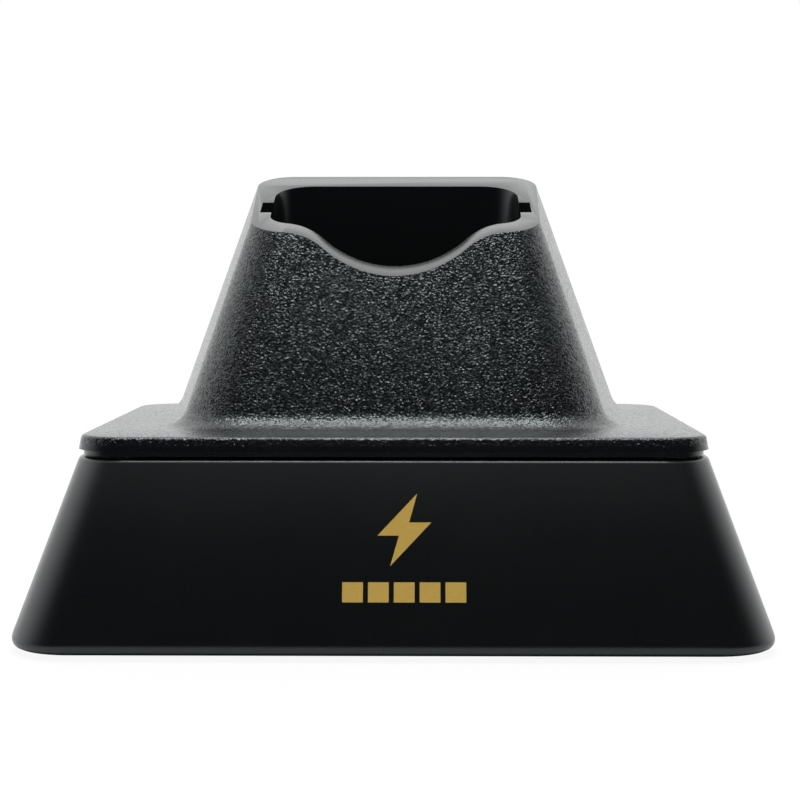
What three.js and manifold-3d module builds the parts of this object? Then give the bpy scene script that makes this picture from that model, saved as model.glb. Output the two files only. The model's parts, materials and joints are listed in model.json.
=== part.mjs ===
// Charging stand for a cordless hair clipper.
// Millimetres, +Z up. The origin is on the surface that the stand rests on, below the middle
// of its footprint. The front, with the scooped wall, faces -Y, and +X is to the right of it,
// as seen from the front.
// A flared skirt carries a flange plate and a tapered tower moulded in one piece. The tower is
// open at its slanted top, where the clipper drops into a well with two sprung contacts.
import * as THREE from 'three';
import { mergeVertices } from 'three/addons/utils/BufferGeometryUtils.js';
import Module from 'manifold-3d';

const wasm = await Module();
wasm.setup();

// ---- driving dimensions ----
const GAP = 0.3;                 // left between two pieces that touch
const FOOT_PROUD = 0.8;          // rubber feet stand this far below the skirt

const SKIRT = { halfWidth: 58.35, halfDepth: 45.8, bottom: FOOT_PROUD, top: 29, draft: 0.3507,
  wall: 2.6, cornerBottom: 10.5, cornerTop: 8, edge: 2, topEdge: 0.5 };
const SKIRT_OPENING = { halfWidth: 42.5, halfDepth: 31.5, corner: 4 };

const PLATE = { halfWidth: 48.05, halfDepth: 35.65, bottom: 30.1, top: 32.3, flare: 0.45,
  corner: 7, edge: 0.45 };
const PEDESTAL_INSET = 0.75;      // depth of the shadow groove between plate and skirt

const TOWER = { foot: PLATE.top, front: -21.75, back: 29.85, frontDraft: 0.33, backDraft: 0.2,
  halfWidth: 35.3, halfWidthAt: -10.05, spread: 0.15, sideDraft: 0.362,
  cornerFront: 11.2, cornerBack: 11, cornerLoss: 0.13, fillet: 2.6, wall: 2.6 };

const RIM = { front: -11.1, height: 63.7, slope: 0.3257, thickness: 3 };
const COLLAR_DEPTH = 16;         // how far the housing's own well wall reaches below the rim
const FRONT_WALL = 4.3;          // thickness of the scooped front wall, along Y

const WELL = { floor: 26, knee: 49, top: 82, halfFloor: 20.2, halfKneeOut: 20.6, halfTop: 21.3,
  backFloor: 14.6, backKnee: 14.9, backTop: 15.4, frontFloor: -11.6, cornerFront: 3.8,
  cornerBack: 6.5, wall: 2 };
const WELL_MIDDLE = 1.6;         // middle of the well's floor along Y
const KEYWAY = { from: -0.4, to: 5.4, depth: 1.6 };
const SCOOP = { halfWidth: 18.4, depth: 6.3, bowlRadius: 19.2, lipRadius: 10.8, reach: -1.5 };

const COVER = { bottom: 1.6, top: 4 };
const POST = { x: 38, y: 27, radius: 3.2, bottom: 6.3, bore: 1.75, boreTop: 17,
  standoff: 5, headPocket: 3.1, headSeat: 4.2, clearance: 1.8 };
const FOOT = { x: 47, y: 34.5, radius: 5, height: 2.2 };
const CUP_SCREW = { x: 27.5, front: -8, back: 15, ear: 31, earThickness: 2.4, earRadius: 3.4,
  boss: 3, bore: 1.6, boreTop: 42, armFrom: 20 };

const CONTACT = { x: 7, shaft: 1.3, flange: 1.6, bore: 1.9, sleeve: 2.6, tail: 3.4, tip: 28.7,
  sleeveBottom: 13.2, sleeveTop: 26.2, floor: 16, lip: 0.8, flangeHeight: 2 };
const SPRING = { radius: 1.2, wire: 0.22, turns: 6 };
const BLOCK = { halfWidth: 18, halfDepth: 4.5, bottom: 14.8, shoulder: 20, top: 23.7, screwX: 14 };

const BALLAST = { halfWidth: 32, front: -35, back: -4, bottom: 4.6, top: 10.6, screwX: 24,
  corner: 3, hole: 2.8 };
const BALLAST_MIDDLE = (BALLAST.front + BALLAST.back) / 2;
const BOARD = { halfWidth: 26, front: 10, back: 35.6, bottom: 8.6, top: 10.2, screwX: 22,
  screwY: 13, pinY: 32, hole: 1.5 };
const JACK = { halfWidth: 4.5, front: 23.5, mouth: 36, bottom: 10.5, top: 19.5, bore: 3.1,
  pin: 1, hole: 4.8 };
const JACK_AXIS = (JACK.bottom + JACK.top) / 2;
const LEAF = { y: JACK.front + 1.6, z: JACK.bottom + 0.95, width: 2.4, thickness: 0.35 };
const CAPACITOR = { x: -15, y: 23, radius: 4, top: 19.5 };
const CHIP = { left: 9, right: 13, front: 16.5, back: 22, leads: 4, pitch: 1.27, firstLead: 17.1 };
const DIODE = { left: 9, right: 13.4, front: 26, back: 28.6, height: 2.1 };

// Screws: height and radius of the head, radius of the shank, and the height of its end.
const COVER_SCREW = { face: 2.3, head: 1.6, headRadius: 2.8, shank: 1.45, end: 15 };
const WELL_SCREW = { head: 1.5, headRadius: 2.6, shank: 1.3, end: 40 };
const BALLAST_SCREW = { head: 1.5, headRadius: 3.2, shank: 1.1, end: COVER.top + 1.4 };
const BLOCK_SCREW = { head: 1.3, headRadius: 2.2, shank: 1.1, end: 24.4 };
const BOARD_SCREW = { head: 1.3, headRadius: 2.3, shank: 1.1, end: COVER.top + 0.4 };

const ARC_STEPS = 6;             // straight steps in each rounded plan corner
const ROUND_SIDES = 16;
const BOSS_REACH = 50;           // top of the cup's screw bosses, inside the tower's wall
const REACH = 90;                // longer than anything that a cutter has to pass through

// ---- solids ----
function solidOf(geometry) {
  const bare = geometry.index ? geometry.toNonIndexed() : geometry.clone();
  bare.deleteAttribute('normal');
  bare.deleteAttribute('uv');
  const merged = mergeVertices(bare, 1e-4);
  return new wasm.Manifold(new wasm.Mesh({
    numProp: 3,
    vertProperties: new Float32Array(merged.attributes.position.array),
    triVerts: new Uint32Array(merged.index.array),
  }));
}

function geometryOf(solid) {
  const mesh = solid.getMesh();
  const geometry = new THREE.BufferGeometry();
  geometry.setAttribute('position', new THREE.BufferAttribute(mesh.vertProperties.slice(), 3));
  geometry.setIndex(new THREE.BufferAttribute(mesh.triVerts.slice(), 1));
  return geometry;
}

function block(x0, x1, y0, y1, z0, z1) {
  const geometry = new THREE.BoxGeometry(x1 - x0, y1 - y0, z1 - z0);
  geometry.translate((x0 + x1) / 2, (y0 + y1) / 2, (z0 + z1) / 2);
  return solidOf(geometry);
}

function post(x, y, radius, z0, z1, sides = ROUND_SIDES) {
  const geometry = new THREE.CylinderGeometry(radius, radius, z1 - z0, sides);
  geometry.rotateX(Math.PI / 2);
  geometry.translate(x, y, (z0 + z1) / 2);
  return solidOf(geometry);
}

function barrel(x, z, radius, y0, y1, sides = ROUND_SIDES) {
  const geometry = new THREE.CylinderGeometry(radius, radius, y1 - y0, sides);
  geometry.translate(x, (y0 + y1) / 2, z);
  return solidOf(geometry);
}

function joined(solids) {
  return solids.reduce((sum, one) => sum.add(one));
}

// A turned solid about a vertical axis at x, y. Profile points are [radius, z] and start and
// end on the axis.
function turned(profile, x, y, sides = ROUND_SIDES) {
  const geometry = new THREE.LatheGeometry(profile.map(([r, z]) => new THREE.Vector2(r, z)), sides);
  geometry.rotateX(Math.PI / 2);
  geometry.translate(x, y, 0);
  return solidOf(geometry);
}

// ---- outlines and lofts ----
// An outline given by its sharp corners, counter-clockwise seen from above, with tangent arcs.
function roundedOutline(sharp, radii) {
  const points = [];
  sharp.forEach((corner, i) => {
    const before = sharp[(i + sharp.length - 1) % sharp.length];
    const after = sharp[(i + 1) % sharp.length];
    const arriving = corner.clone().sub(before).normalize();
    const leaving = after.clone().sub(corner).normalize();
    const normalIn = new THREE.Vector2(arriving.y, -arriving.x);
    const normalOut = new THREE.Vector2(leaving.y, -leaving.x);
    const inset = radii[i] / (1 + normalIn.dot(normalOut));
    const centre = corner.clone().addScaledVector(normalIn.clone().add(normalOut), -inset);
    const first = Math.atan2(normalIn.y, normalIn.x);
    const sweep = Math.acos(normalIn.dot(normalOut));
    for (let k = 0; k <= ARC_STEPS; k += 1) {
      const angle = first + (sweep * k) / ARC_STEPS;
      points.push(new THREE.Vector2(centre.x + radii[i] * Math.cos(angle),
        centre.y + radii[i] * Math.sin(angle)));
    }
  });
  return points;
}

function trapezoid(front, back, halfFront, halfBack, radiusFront, radiusBack) {
  const sharp = [[-halfFront, front], [halfFront, front], [halfBack, back], [-halfBack, back]];
  return roundedOutline(sharp.map(([x, y]) => new THREE.Vector2(x, y)),
    [radiusFront, radiusFront, radiusBack, radiusBack]);
}

function rectangle(halfWidth, halfDepth, radius, middle = 0) {
  return trapezoid(middle - halfDepth, middle + halfDepth, halfWidth, halfWidth, radius, radius);
}

// Stacked outlines [z, points] with the same number of points, joined and capped.
function loft(levels) {
  const count = levels[0][1].length;
  const positions = [];
  const index = [];
  levels.forEach(([z, points]) => points.forEach((p) => positions.push(p.x, p.y, z)));
  for (let level = 0; level + 1 < levels.length; level += 1) {
    for (let i = 0; i < count; i += 1) {
      const a = level * count + i;
      const b = level * count + ((i + 1) % count);
      index.push(a, b, b + count, a, b + count, a + count);
    }
  }
  const lastRing = (levels.length - 1) * count;
  THREE.ShapeUtils.triangulateShape(levels[0][1], []).forEach(([a, b, c]) => {
    index.push(a, c, b, lastRing + a, lastRing + b, lastRing + c);
  });
  const geometry = new THREE.BufferGeometry();
  geometry.setAttribute('position', new THREE.Float32BufferAttribute(positions, 3));
  geometry.setIndex(index);
  return solidOf(geometry);
}

function slab(outline, z0, z1) {
  return loft([[z0, outline], [z1, outline]]);
}

// Levels of a rounded edge: [height from the edge's plane, inset], from the plane inwards.
function edgeLevels(radius, steps) {
  return Array.from({ length: steps + 1 }, (_, k) => {
    const angle = (Math.PI / 2) * (k / steps);
    return [radius * (1 - Math.cos(angle)), radius * (1 - Math.sin(angle))];
  });
}

// ---- the shapes that several pieces share ----
function skirtOutline(z, inset) {
  const rise = z - SKIRT.bottom;
  const share = rise / (SKIRT.top - SKIRT.bottom);
  const corner = THREE.MathUtils.lerp(SKIRT.cornerBottom, SKIRT.cornerTop, share);
  return rectangle(SKIRT.halfWidth - SKIRT.draft * rise - inset,
    SKIRT.halfDepth - SKIRT.draft * rise - inset, Math.max(corner - inset, 1));
}

function plateOutline(z, inset) {
  const grown = PLATE.flare * ((PLATE.top - z) / (PLATE.top - PLATE.bottom)) - inset;
  return rectangle(PLATE.halfWidth + grown, PLATE.halfDepth + grown, PLATE.corner + grown);
}

function towerFront(z) {
  return TOWER.front + TOWER.frontDraft * (z - TOWER.foot);
}

function towerBack(z) {
  return TOWER.back - TOWER.backDraft * (z - TOWER.foot);
}

function towerHalf(y, z) {
  return TOWER.halfWidth + TOWER.spread * (y - TOWER.halfWidthAt)
    - TOWER.sideDraft * (z - TOWER.foot);
}

function towerOutline(z, inset) {
  const front = towerFront(z) + inset;
  const back = towerBack(z) - inset;
  const loss = TOWER.cornerLoss * (z - TOWER.foot) + inset;
  return trapezoid(front, back, towerHalf(front, z) - inset, towerHalf(back, z) - inset,
    Math.max(TOWER.cornerFront - loss, 1.5), Math.max(TOWER.cornerBack - loss, 1.5));
}

function rimHeight(y) {
  return RIM.height + RIM.slope * (y - RIM.front);
}

// Leans a solid so that level faces become parallel to the rim, with y = 0 left in place.
function leaned(geometry, lift) {
  geometry.applyMatrix4(new THREE.Matrix4().makeShear(0, 0, 0, RIM.slope, 0, 0));
  geometry.translate(0, 0, lift);
  return solidOf(geometry);
}

// Everything above a plane parallel to the rim, a given drop below it.
function spaceAbove(drop) {
  const geometry = new THREE.BoxGeometry(REACH * 2, REACH * 2, REACH);
  geometry.translate(0, 0, REACH / 2);
  return leaned(geometry, rimHeight(0) - drop);
}

function wellOutline(z, outset) {
  const upper = z > WELL.knee;
  const low = upper ? WELL.knee : WELL.floor;
  const high = upper ? WELL.top : WELL.knee;
  const share = (z - low) / (high - low);
  const kneeFront = towerFront(WELL.knee) + FRONT_WALL;
  const halves = upper ? [WELL.halfKneeOut, WELL.halfTop] : [WELL.halfFloor, WELL.halfKneeOut];
  const backs = upper ? [WELL.backKnee, WELL.backTop] : [WELL.backFloor, WELL.backKnee];
  const fronts = upper ? [kneeFront, towerFront(WELL.top) + FRONT_WALL]
    : [WELL.frontFloor, kneeFront];
  const half = THREE.MathUtils.lerp(...halves, share) + outset;
  return trapezoid(THREE.MathUtils.lerp(...fronts, share) - outset,
    THREE.MathUtils.lerp(...backs, share) + outset, half, half,
    WELL.cornerFront + outset, WELL.cornerBack + outset);
}

function wellSpace(outset, bottom) {
  return loft([bottom, WELL.knee, WELL.top].map((z) => [z, wellOutline(z, outset)]));
}

// The two upright grooves in the well's side walls.
function keyways(outset, bottom) {
  const deep = WELL.halfTop + KEYWAY.depth + outset;
  return block(-deep, deep, KEYWAY.from - outset, KEYWAY.to + outset, bottom, WELL.top);
}

// The bell-shaped dip in the front wall, swept along the slope of the rim. A larger outset
// gives the same dip, moved outwards by that much.
function scoopSpace(outset) {
  const turn = 2 * Math.atan(SCOOP.depth / SCOOP.halfWidth);
  const lowest = -SCOOP.depth - outset;
  const bowl = SCOOP.bowlRadius + outset;
  const lip = SCOOP.lipRadius - outset;
  const shape = new THREE.Shape();
  shape.moveTo(-SCOOP.halfWidth, REACH / 3);
  shape.lineTo(-SCOOP.halfWidth, -outset);
  shape.absarc(-SCOOP.halfWidth, -outset - lip, lip, Math.PI / 2, Math.PI / 2 - turn, true);
  shape.absarc(0, lowest + bowl, bowl, -Math.PI / 2 - turn, -Math.PI / 2 + turn, false);
  shape.absarc(SCOOP.halfWidth, -outset - lip, lip, Math.PI / 2 + turn, Math.PI / 2, true);
  shape.lineTo(SCOOP.halfWidth, REACH / 3);
  const length = REACH / 2;
  const geometry = new THREE.ExtrudeGeometry(shape,
    { depth: length, bevelEnabled: false, curveSegments: 8 });
  geometry.rotateX(Math.PI / 2);
  geometry.translate(0, SCOOP.reach, 0);
  return leaned(geometry, rimHeight(0));
}

// ---- housings ----
function upperHousing() {
  const fillet = edgeLevels(TOWER.fillet, 3).map(([up, inset]) => [TOWER.foot + up, -inset]);
  const highest = rimHeight(TOWER.back) + 1;
  const towerLevels = [[PLATE.bottom + 0.1, -TOWER.fillet], ...fillet, [highest, 0]];
  const tower = loft(towerLevels.map(([z, inset]) => [z, towerOutline(z, inset)]));
  const edge = edgeLevels(PLATE.edge, 2).map(([down, inset]) => [PLATE.top - down, inset]);
  const plateLevels = [[PLATE.bottom, 0], ...edge.reverse()];
  const plate = loft(plateLevels.map(([z, inset]) => [z, plateOutline(z, inset)]));
  const seat = SKIRT.top + GAP;
  const pedestal = slab(plateOutline(PLATE.bottom, PEDESTAL_INSET), seat, PLATE.bottom + 0.1);
  const lipBottom = SKIRT.top - SKIRT.wall - 1;
  const lipOutline = rectangle(SKIRT_OPENING.halfWidth - GAP, SKIRT_OPENING.halfDepth - GAP,
    SKIRT_OPENING.corner);
  const lip = slab(lipOutline, lipBottom, PLATE.bottom + 0.1);
  const lipHole = slab(rectangle(SKIRT_OPENING.halfWidth - 2, SKIRT_OPENING.halfDepth - 2,
    SKIRT_OPENING.corner - 1.5), lipBottom - 1, PLATE.bottom);
  const outside = joined([tower, plate, pedestal, lip]).subtract(lipHole);

  const cavityLevels = [PLATE.bottom - 0.2, TOWER.foot, highest];
  const core = loft(cavityLevels.map((z) => [z, towerOutline(z, TOWER.wall - 1)]));
  const collar = wellSpace(WELL.wall, WELL.floor).add(keyways(WELL.wall, WELL.floor));
  const cavity = loft(cavityLevels.map((z) => [z, towerOutline(z, TOWER.wall)]))
    .subtract(spaceAbove(RIM.thickness))
    .subtract(scoopSpace(RIM.thickness + 1))
    .subtract(collar.intersect(spaceAbove(COLLAR_DEPTH)));

  const posts = corners(POST.x, POST.y).map(([x, y]) =>
    post(x, y, POST.radius, POST.bottom, PLATE.bottom + 0.2));
  const bosses = cupScrewPlaces().map(([x, y]) =>
    post(x, y, CUP_SCREW.boss, CUP_SCREW.ear + GAP, BOSS_REACH).intersect(core));
  const bores = [
    ...corners(POST.x, POST.y).map(([x, y]) =>
      post(x, y, POST.bore, POST.bottom - 1, POST.boreTop)),
    ...cupScrewPlaces().map(([x, y]) =>
      post(x, y, CUP_SCREW.bore, CUP_SCREW.ear - 1, CUP_SCREW.boreTop)),
  ];
  return joined([outside.subtract(cavity), ...posts, ...bosses])
    .subtract(joined(bores))
    .subtract(spaceAbove(0)).subtract(scoopSpace(0))
    .subtract(wellSpace(0, WELL.floor - 1)).subtract(keyways(0, WELL.floor - 1));
}

function skirt() {
  const levels = [
    ...edgeLevels(SKIRT.edge, 3).map(([up, inset]) => [SKIRT.bottom + up, inset]),
    ...edgeLevels(SKIRT.topEdge, 2).map(([down, inset]) => [SKIRT.top - down, inset]).reverse(),
  ];
  const outer = loft(levels.map(([z, inset]) => [z, skirtOutline(z, inset)]));
  const ledge = [COVER.top + GAP, COVER.top + GAP + 2];
  const ceiling = SKIRT.top - SKIRT.wall;
  const inner = loft([[SKIRT.bottom - 1, SKIRT.wall], [ledge[0], SKIRT.wall],
    [ledge[0], SKIRT.wall + 1.6], [ledge[1], SKIRT.wall + 1.6], [ledge[1], SKIRT.wall],
    [ceiling, SKIRT.wall]].map(([z, inset]) => [z, skirtOutline(z, inset)]));
  const opening = slab(rectangle(SKIRT_OPENING.halfWidth, SKIRT_OPENING.halfDepth,
    SKIRT_OPENING.corner), ceiling - 1, SKIRT.top + 1);
  const plugHole = barrel(0, JACK_AXIS, JACK.hole, JACK.mouth - 2, REACH / 2 + 5);
  return outer.subtract(inner).subtract(opening).subtract(plugHole);
}

function bottomCover() {
  const outline = (z) => skirtOutline(z, SKIRT.wall + GAP);
  const floor = loft([[COVER.bottom, outline(COVER.bottom)], [COVER.top, outline(COVER.top)]]);
  const standoffs = [
    ...corners(POST.x, POST.y).map(([x, y]) =>
      post(x, y, POST.standoff, COVER.top - 0.1, POST.bottom - GAP)),
    ...ballastScrewPlaces().map(([x, y]) => post(x, y, 2.5, COVER.top - 0.1, BALLAST.top + 0.2)),
    ...[-1, 1].flatMap((s) => [BOARD.screwY, BOARD.pinY].map((y) => post(s * BOARD.screwX, y,
      2.5, COVER.top - 0.1, BOARD.bottom - GAP))),
  ];
  const pockets = [
    ...corners(FOOT.x, FOOT.y).map(([x, y]) => post(x, y, FOOT.radius + GAP, COVER.bottom - 1,
      FOOT.height + GAP, 24)),
    ...corners(POST.x, POST.y).map(([x, y]) =>
      post(x, y, POST.headPocket, COVER.bottom - 1, POST.headSeat)),
    ...corners(POST.x, POST.y).map(([x, y]) =>
      post(x, y, POST.clearance, COVER.bottom - 1, POST.bottom)),
    ...ballastScrewPlaces().map(([x, y]) =>
      post(x, y, BALLAST_SCREW.shank + GAP, COVER.top + 1, BALLAST.top + 1)),
    ...boardScrewPlaces().map(([x, y]) =>
      post(x, y, BOARD_SCREW.shank + GAP, COVER.top, BOARD.bottom)),
  ];
  return joined([floor, ...standoffs]).subtract(joined(pockets));
}

function wellCup() {
  const top = COLLAR_DEPTH + GAP;
  const floorBottom = WELL.floor - 2;
  const shell = wellSpace(WELL.wall, floorBottom).add(keyways(WELL.wall, floorBottom));
  const earBottom = CUP_SCREW.ear - CUP_SCREW.earThickness;
  const ears = cupScrewPlaces().map(([x, y]) =>
    post(x, y, CUP_SCREW.earRadius, earBottom, CUP_SCREW.ear));
  const arms = cupScrewPlaces().map(([x, y]) => {
    const root = Math.sign(x) * CUP_SCREW.armFrom;
    return block(Math.min(x, root), Math.max(x, root), y - 3, y + 3, earBottom, CUP_SCREW.ear);
  });
  const bosses = [-1, 1].map((s) => post(s * BLOCK.screwX, WELL_MIDDLE, 2.8,
    BLOCK.shoulder + GAP, floorBottom + 0.1));
  const holes = [
    ...[-1, 1].map((s) => post(s * BLOCK.screwX, WELL_MIDDLE, BLOCK_SCREW.shank + GAP,
      BLOCK.shoulder, WELL.floor - 1)),
    ...[-1, 1].map((s) => post(s * CONTACT.x, WELL_MIDDLE, CONTACT.sleeve + GAP,
      floorBottom - 1, WELL.floor + 1)),
    ...cupScrewPlaces().map(([x, y]) =>
      post(x, y, WELL_SCREW.shank + GAP, earBottom - 1, CUP_SCREW.ear + 1)),
  ];
  return joined([shell, ...ears, ...arms, ...bosses])
    .subtract(joined(holes))
    .subtract(wellSpace(0, WELL.floor)).subtract(keyways(0, WELL.floor))
    .subtract(spaceAbove(top));
}

// ---- places of what repeats ----
function corners(x, y) {
  return [[-x, -y], [x, -y], [x, y], [-x, y]];
}

function cupScrewPlaces() {
  return [[-1, CUP_SCREW.front], [1, CUP_SCREW.front], [1, CUP_SCREW.back], [-1, CUP_SCREW.back]]
    .map(([s, y]) => [s * CUP_SCREW.x, y]);
}

function ballastScrewPlaces() {
  return [-1, 1].map((s) => [s * BALLAST.screwX, BALLAST_MIDDLE]);
}

function boardScrewPlaces() {
  return [-1, 1].map((s) => [s * BOARD.screwX, BOARD.screwY]);
}

// ---- small pieces ----
function foot(x, y) {
  const r = FOOT.radius;
  return turned([[0, 0], [r - 0.7, 0], [r, 0.7], [r, FOOT.height], [0, FOOT.height]], x, y, 24);
}

// A pan-head screw with a crossed recess. The shank runs from the head towards "end".
function screw(x, y, face, { head, headRadius, shank, end }) {
  const up = Math.sign(end - face);
  const neck = face + up * head;
  const profile = [[0, face], [headRadius * 0.72, face],
    [headRadius, face + up * head * 0.45], [headRadius, neck], [shank, neck],
    [shank, end - up * shank], [0, end]];
  const body = turned(up > 0 ? profile : profile.reverse(), x, y, 14);
  const reach = headRadius * 0.55;
  const slot = [face - up, face + up * head * 0.6].sort((a, b) => a - b);
  return body.subtract(block(x - reach, x + reach, y - 0.3, y + 0.3, ...slot))
    .subtract(block(x - 0.3, x + 0.3, y - reach, y + reach, ...slot));
}

function contactBlock() {
  const { halfWidth, halfDepth, bottom, shoulder, top, screwX } = BLOCK;
  let body = slab(rectangle(halfWidth, halfDepth, 1.2, WELL_MIDDLE), bottom, shoulder)
    .add(slab(rectangle(screwX - 3.4, halfDepth, 1.2, WELL_MIDDLE), shoulder - 0.1, top));
  [-1, 1].forEach((s) => {
    body = body.subtract(post(s * CONTACT.x, WELL_MIDDLE, CONTACT.sleeve + GAP, bottom - 1,
      top + 1)).subtract(post(s * screwX, WELL_MIDDLE, BLOCK_SCREW.shank + GAP, bottom - 1,
      shoulder + 1));
  });
  return body;
}

function contactSleeve(x) {
  const { sleeve, tail, bore, shaft, floor, lip, sleeveBottom, sleeveTop } = CONTACT;
  const tailTop = BLOCK.bottom - GAP;
  return turned([[0, sleeveBottom], [tail, sleeveBottom], [tail, tailTop], [sleeve, tailTop],
    [sleeve, sleeveTop - 0.3], [sleeve - 0.3, sleeveTop], [shaft + GAP, sleeveTop],
    [shaft + GAP, sleeveTop - lip], [bore, sleeveTop - lip], [bore, floor], [0, floor]],
  x, WELL_MIDDLE);
}

function contactPlunger(x) {
  const { shaft, flange, tip, lip, flangeHeight, sleeveTop } = CONTACT;
  const flangeTop = sleeveTop - lip - GAP;
  const dome = Array.from({ length: 5 }, (_, k) => {
    const angle = (Math.PI / 2) * (k / 4);
    return [shaft * Math.cos(angle), tip - shaft + shaft * Math.sin(angle)];
  });
  dome[4][0] = 0;
  return turned([[0, flangeTop - flangeHeight], [flange, flangeTop - flangeHeight],
    [flange, flangeTop], [shaft, flangeTop], ...dome], x, WELL_MIDDLE, 20);
}

class Helix extends THREE.Curve {
  constructor(x, y, radius, z0, z1, turns) {
    super();
    Object.assign(this, { x, y, radius, z0, z1, turns });
  }

  getPoint(t, target = new THREE.Vector3()) {
    const angle = 2 * Math.PI * this.turns * t;
    return target.set(this.x + this.radius * Math.cos(angle),
      this.y + this.radius * Math.sin(angle), THREE.MathUtils.lerp(this.z0, this.z1, t));
  }
}

function disc(radius, sides) {
  return new THREE.Shape(Array.from({ length: sides }, (_, k) => {
    const angle = (2 * Math.PI * k) / sides;
    return new THREE.Vector2(radius * Math.cos(angle), radius * Math.sin(angle));
  }));
}

function rod(path, radius, steps, sides) {
  return solidOf(new THREE.ExtrudeGeometry(disc(radius, sides), { steps, extrudePath: path }));
}

function contactSpring(x) {
  const low = CONTACT.floor + SPRING.wire + GAP;
  const high = CONTACT.sleeveTop - CONTACT.lip - CONTACT.flangeHeight - 2 * GAP - SPRING.wire;
  return rod(new Helix(x, WELL_MIDDLE, SPRING.radius, low, high, SPRING.turns), SPRING.wire,
    SPRING.turns * 9, 6);
}

function ballastPlate() {
  const { halfWidth, front, back, bottom, top, corner, hole } = BALLAST;
  const outline = rectangle(halfWidth, (back - front) / 2, corner, BALLAST_MIDDLE);
  let plate = slab(outline, bottom, top);
  ballastScrewPlaces().forEach(([x, y]) => {
    plate = plate.subtract(post(x, y, hole, bottom - 1, top + 1));
  });
  return plate;
}

function circuitBoard() {
  const { halfWidth, front, back, bottom, top, pinY, screwX, hole } = BOARD;
  let board = slab(rectangle(halfWidth, (back - front) / 2, 1.5, (front + back) / 2), bottom, top);
  [...boardScrewPlaces(), [-screwX, pinY], [screwX, pinY]].forEach(([x, y]) => {
    board = board.subtract(post(x, y, hole, bottom - 1, top + 1));
  });
  return board;
}

function jackBody() {
  const { halfWidth, front, mouth, bottom, top, bore, pin } = JACK;
  return block(-halfWidth, halfWidth, front, mouth, bottom, top)
    .subtract(barrel(0, JACK_AXIS, bore, front + 2, mouth + 1))
    .subtract(barrel(0, JACK_AXIS, pin + GAP, front - 1, front + 3))
    .subtract(block(-1.6, 1.6, front + 1.1, mouth - 1.5, bottom - 1, JACK_AXIS - 2.4));
}

function jackPin() {
  const { front, mouth, pin } = JACK;
  const profile = [[0, front - 0.7], [pin + 1, front - 0.7], [pin + 1, front - GAP],
    [pin, front - GAP], [pin, mouth - 2.6], [pin * 0.6, mouth - 2], [0, mouth - 2]];
  const geometry = new THREE.LatheGeometry(profile.map(([r, y]) => new THREE.Vector2(r, y)), 16);
  geometry.translate(0, 0, JACK_AXIS);
  return solidOf(geometry);
}

// The bowed leaf below the plug. Its hump stands a little way into the bore.
function jackLeaf() {
  const { y, z, width, thickness } = LEAF;
  const hump = [[0, 0], [2.2, 0], [5.2, 1], [6.6, 1], [8.4, 0.15]];
  const under = hump.map(([dy, dz]) => [dy, dz - thickness]).reverse();
  const shape = new THREE.Shape([...hump, ...under].map(([dy, dz]) =>
    new THREE.Vector2(dy, dz)));
  const geometry = new THREE.ExtrudeGeometry(shape, { depth: width, bevelEnabled: false });
  geometry.rotateX(Math.PI / 2);
  geometry.rotateZ(Math.PI / 2);
  geometry.translate(-width / 2, y, z);
  return solidOf(geometry);
}

function contactWire(x) {
  const low = BOARD.top + GAP;
  const high = CONTACT.sleeveBottom - GAP - 0.5;
  const path = new THREE.CatmullRomCurve3([[0, high], [3.5, high], [7.5, high - 0.2],
    [10.6, high - 0.6], [11.6, low]].map(([dy, z]) =>
    new THREE.Vector3(x, WELL_MIDDLE + 1 + dy, z)));
  return rod(path, 0.5, 12, 8);
}

function capacitor() {
  const { x, y, radius, top } = CAPACITOR;
  const bottom = BOARD.top + GAP;
  return turned([[0, bottom], [radius - 0.3, bottom], [radius, bottom + 0.3],
    [radius, bottom + 1.1], [radius - 0.25, bottom + 1.4], [radius, bottom + 1.7],
    [radius, top - 0.3], [radius - 0.3, top], [0, top]], x, y);
}

// A flat package with leads down both long sides, in one moulded block.
function chargeChip() {
  const { left, right, front, back, leads, pitch, firstLead } = CHIP;
  const bottom = BOARD.top + GAP;
  let chip = block(left, right, front, back, bottom + 0.3, bottom + 1.7);
  for (let k = 0; k < leads; k += 1) {
    const y = firstLead + pitch * k;
    chip = chip.add(block(left - 1, right + 1, y, y + 0.4, bottom, bottom + 0.8));
  }
  return chip;
}

function rectifier() {
  const { left, right, front, back, height } = DIODE;
  const bottom = BOARD.top + GAP;
  return block(left, right, front, back, bottom, bottom + height)
    .add(block(left - 0.8, right + 0.8, front + 0.6, back - 0.6, bottom, bottom + 1));
}

// ---- finishes ----
const finish = (color, roughness, metalness = 0) =>
  new THREE.MeshStandardMaterial({ color, roughness, metalness });
const texturedBlack = finish(0x1c1e20, 0.5);
const satinBlack = finish(0x15171a, 0.45);
const plainBlack = finish(0x141414, 0.6);
const rubber = finish(0x1a1a1a, 0.9);
const zincSteel = finish(0xb8bcc0, 0.35, 1);
const steel = finish(0x8d9094, 0.5, 1);
const goldPlate = finish(0xd4a640, 0.3, 1);
const springSteel = finish(0xc6c9cc, 0.3, 1);
const naturalNylon = finish(0xd9d4c4, 0.6);
const boardGreen = finish(0x1f5a38, 0.45);
const jackBlack = finish(0x101010, 0.4);
const canSleeve = finish(0x23304d, 0.4);
const wireRed = finish(0xb01f1c, 0.5);
const wireBlack = finish(0x151515, 0.5);

// ---- assembly ----
const group = new THREE.Group();

function place(parent, name, solid, material, turn = 0) {
  const mesh = new THREE.Mesh(geometryOf(solid), material);
  mesh.name = name;
  mesh.rotation.z = turn;
  parent.add(mesh);
}

const housings = new THREE.Group();
const inlet = new THREE.Group();
const contacts = new THREE.Group();
const electronics = new THREE.Group();
group.add(housings, contacts, electronics, inlet);

place(housings, 'upper_housing', upperHousing(), texturedBlack);
place(housings, 'skirt_base', skirt(), satinBlack);
place(housings, 'bottom_cover', bottomCover(), plainBlack);
place(housings, 'well_cup', wellCup(), plainBlack);
place(housings, 'ballast_plate', ballastPlate(), steel);

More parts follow.
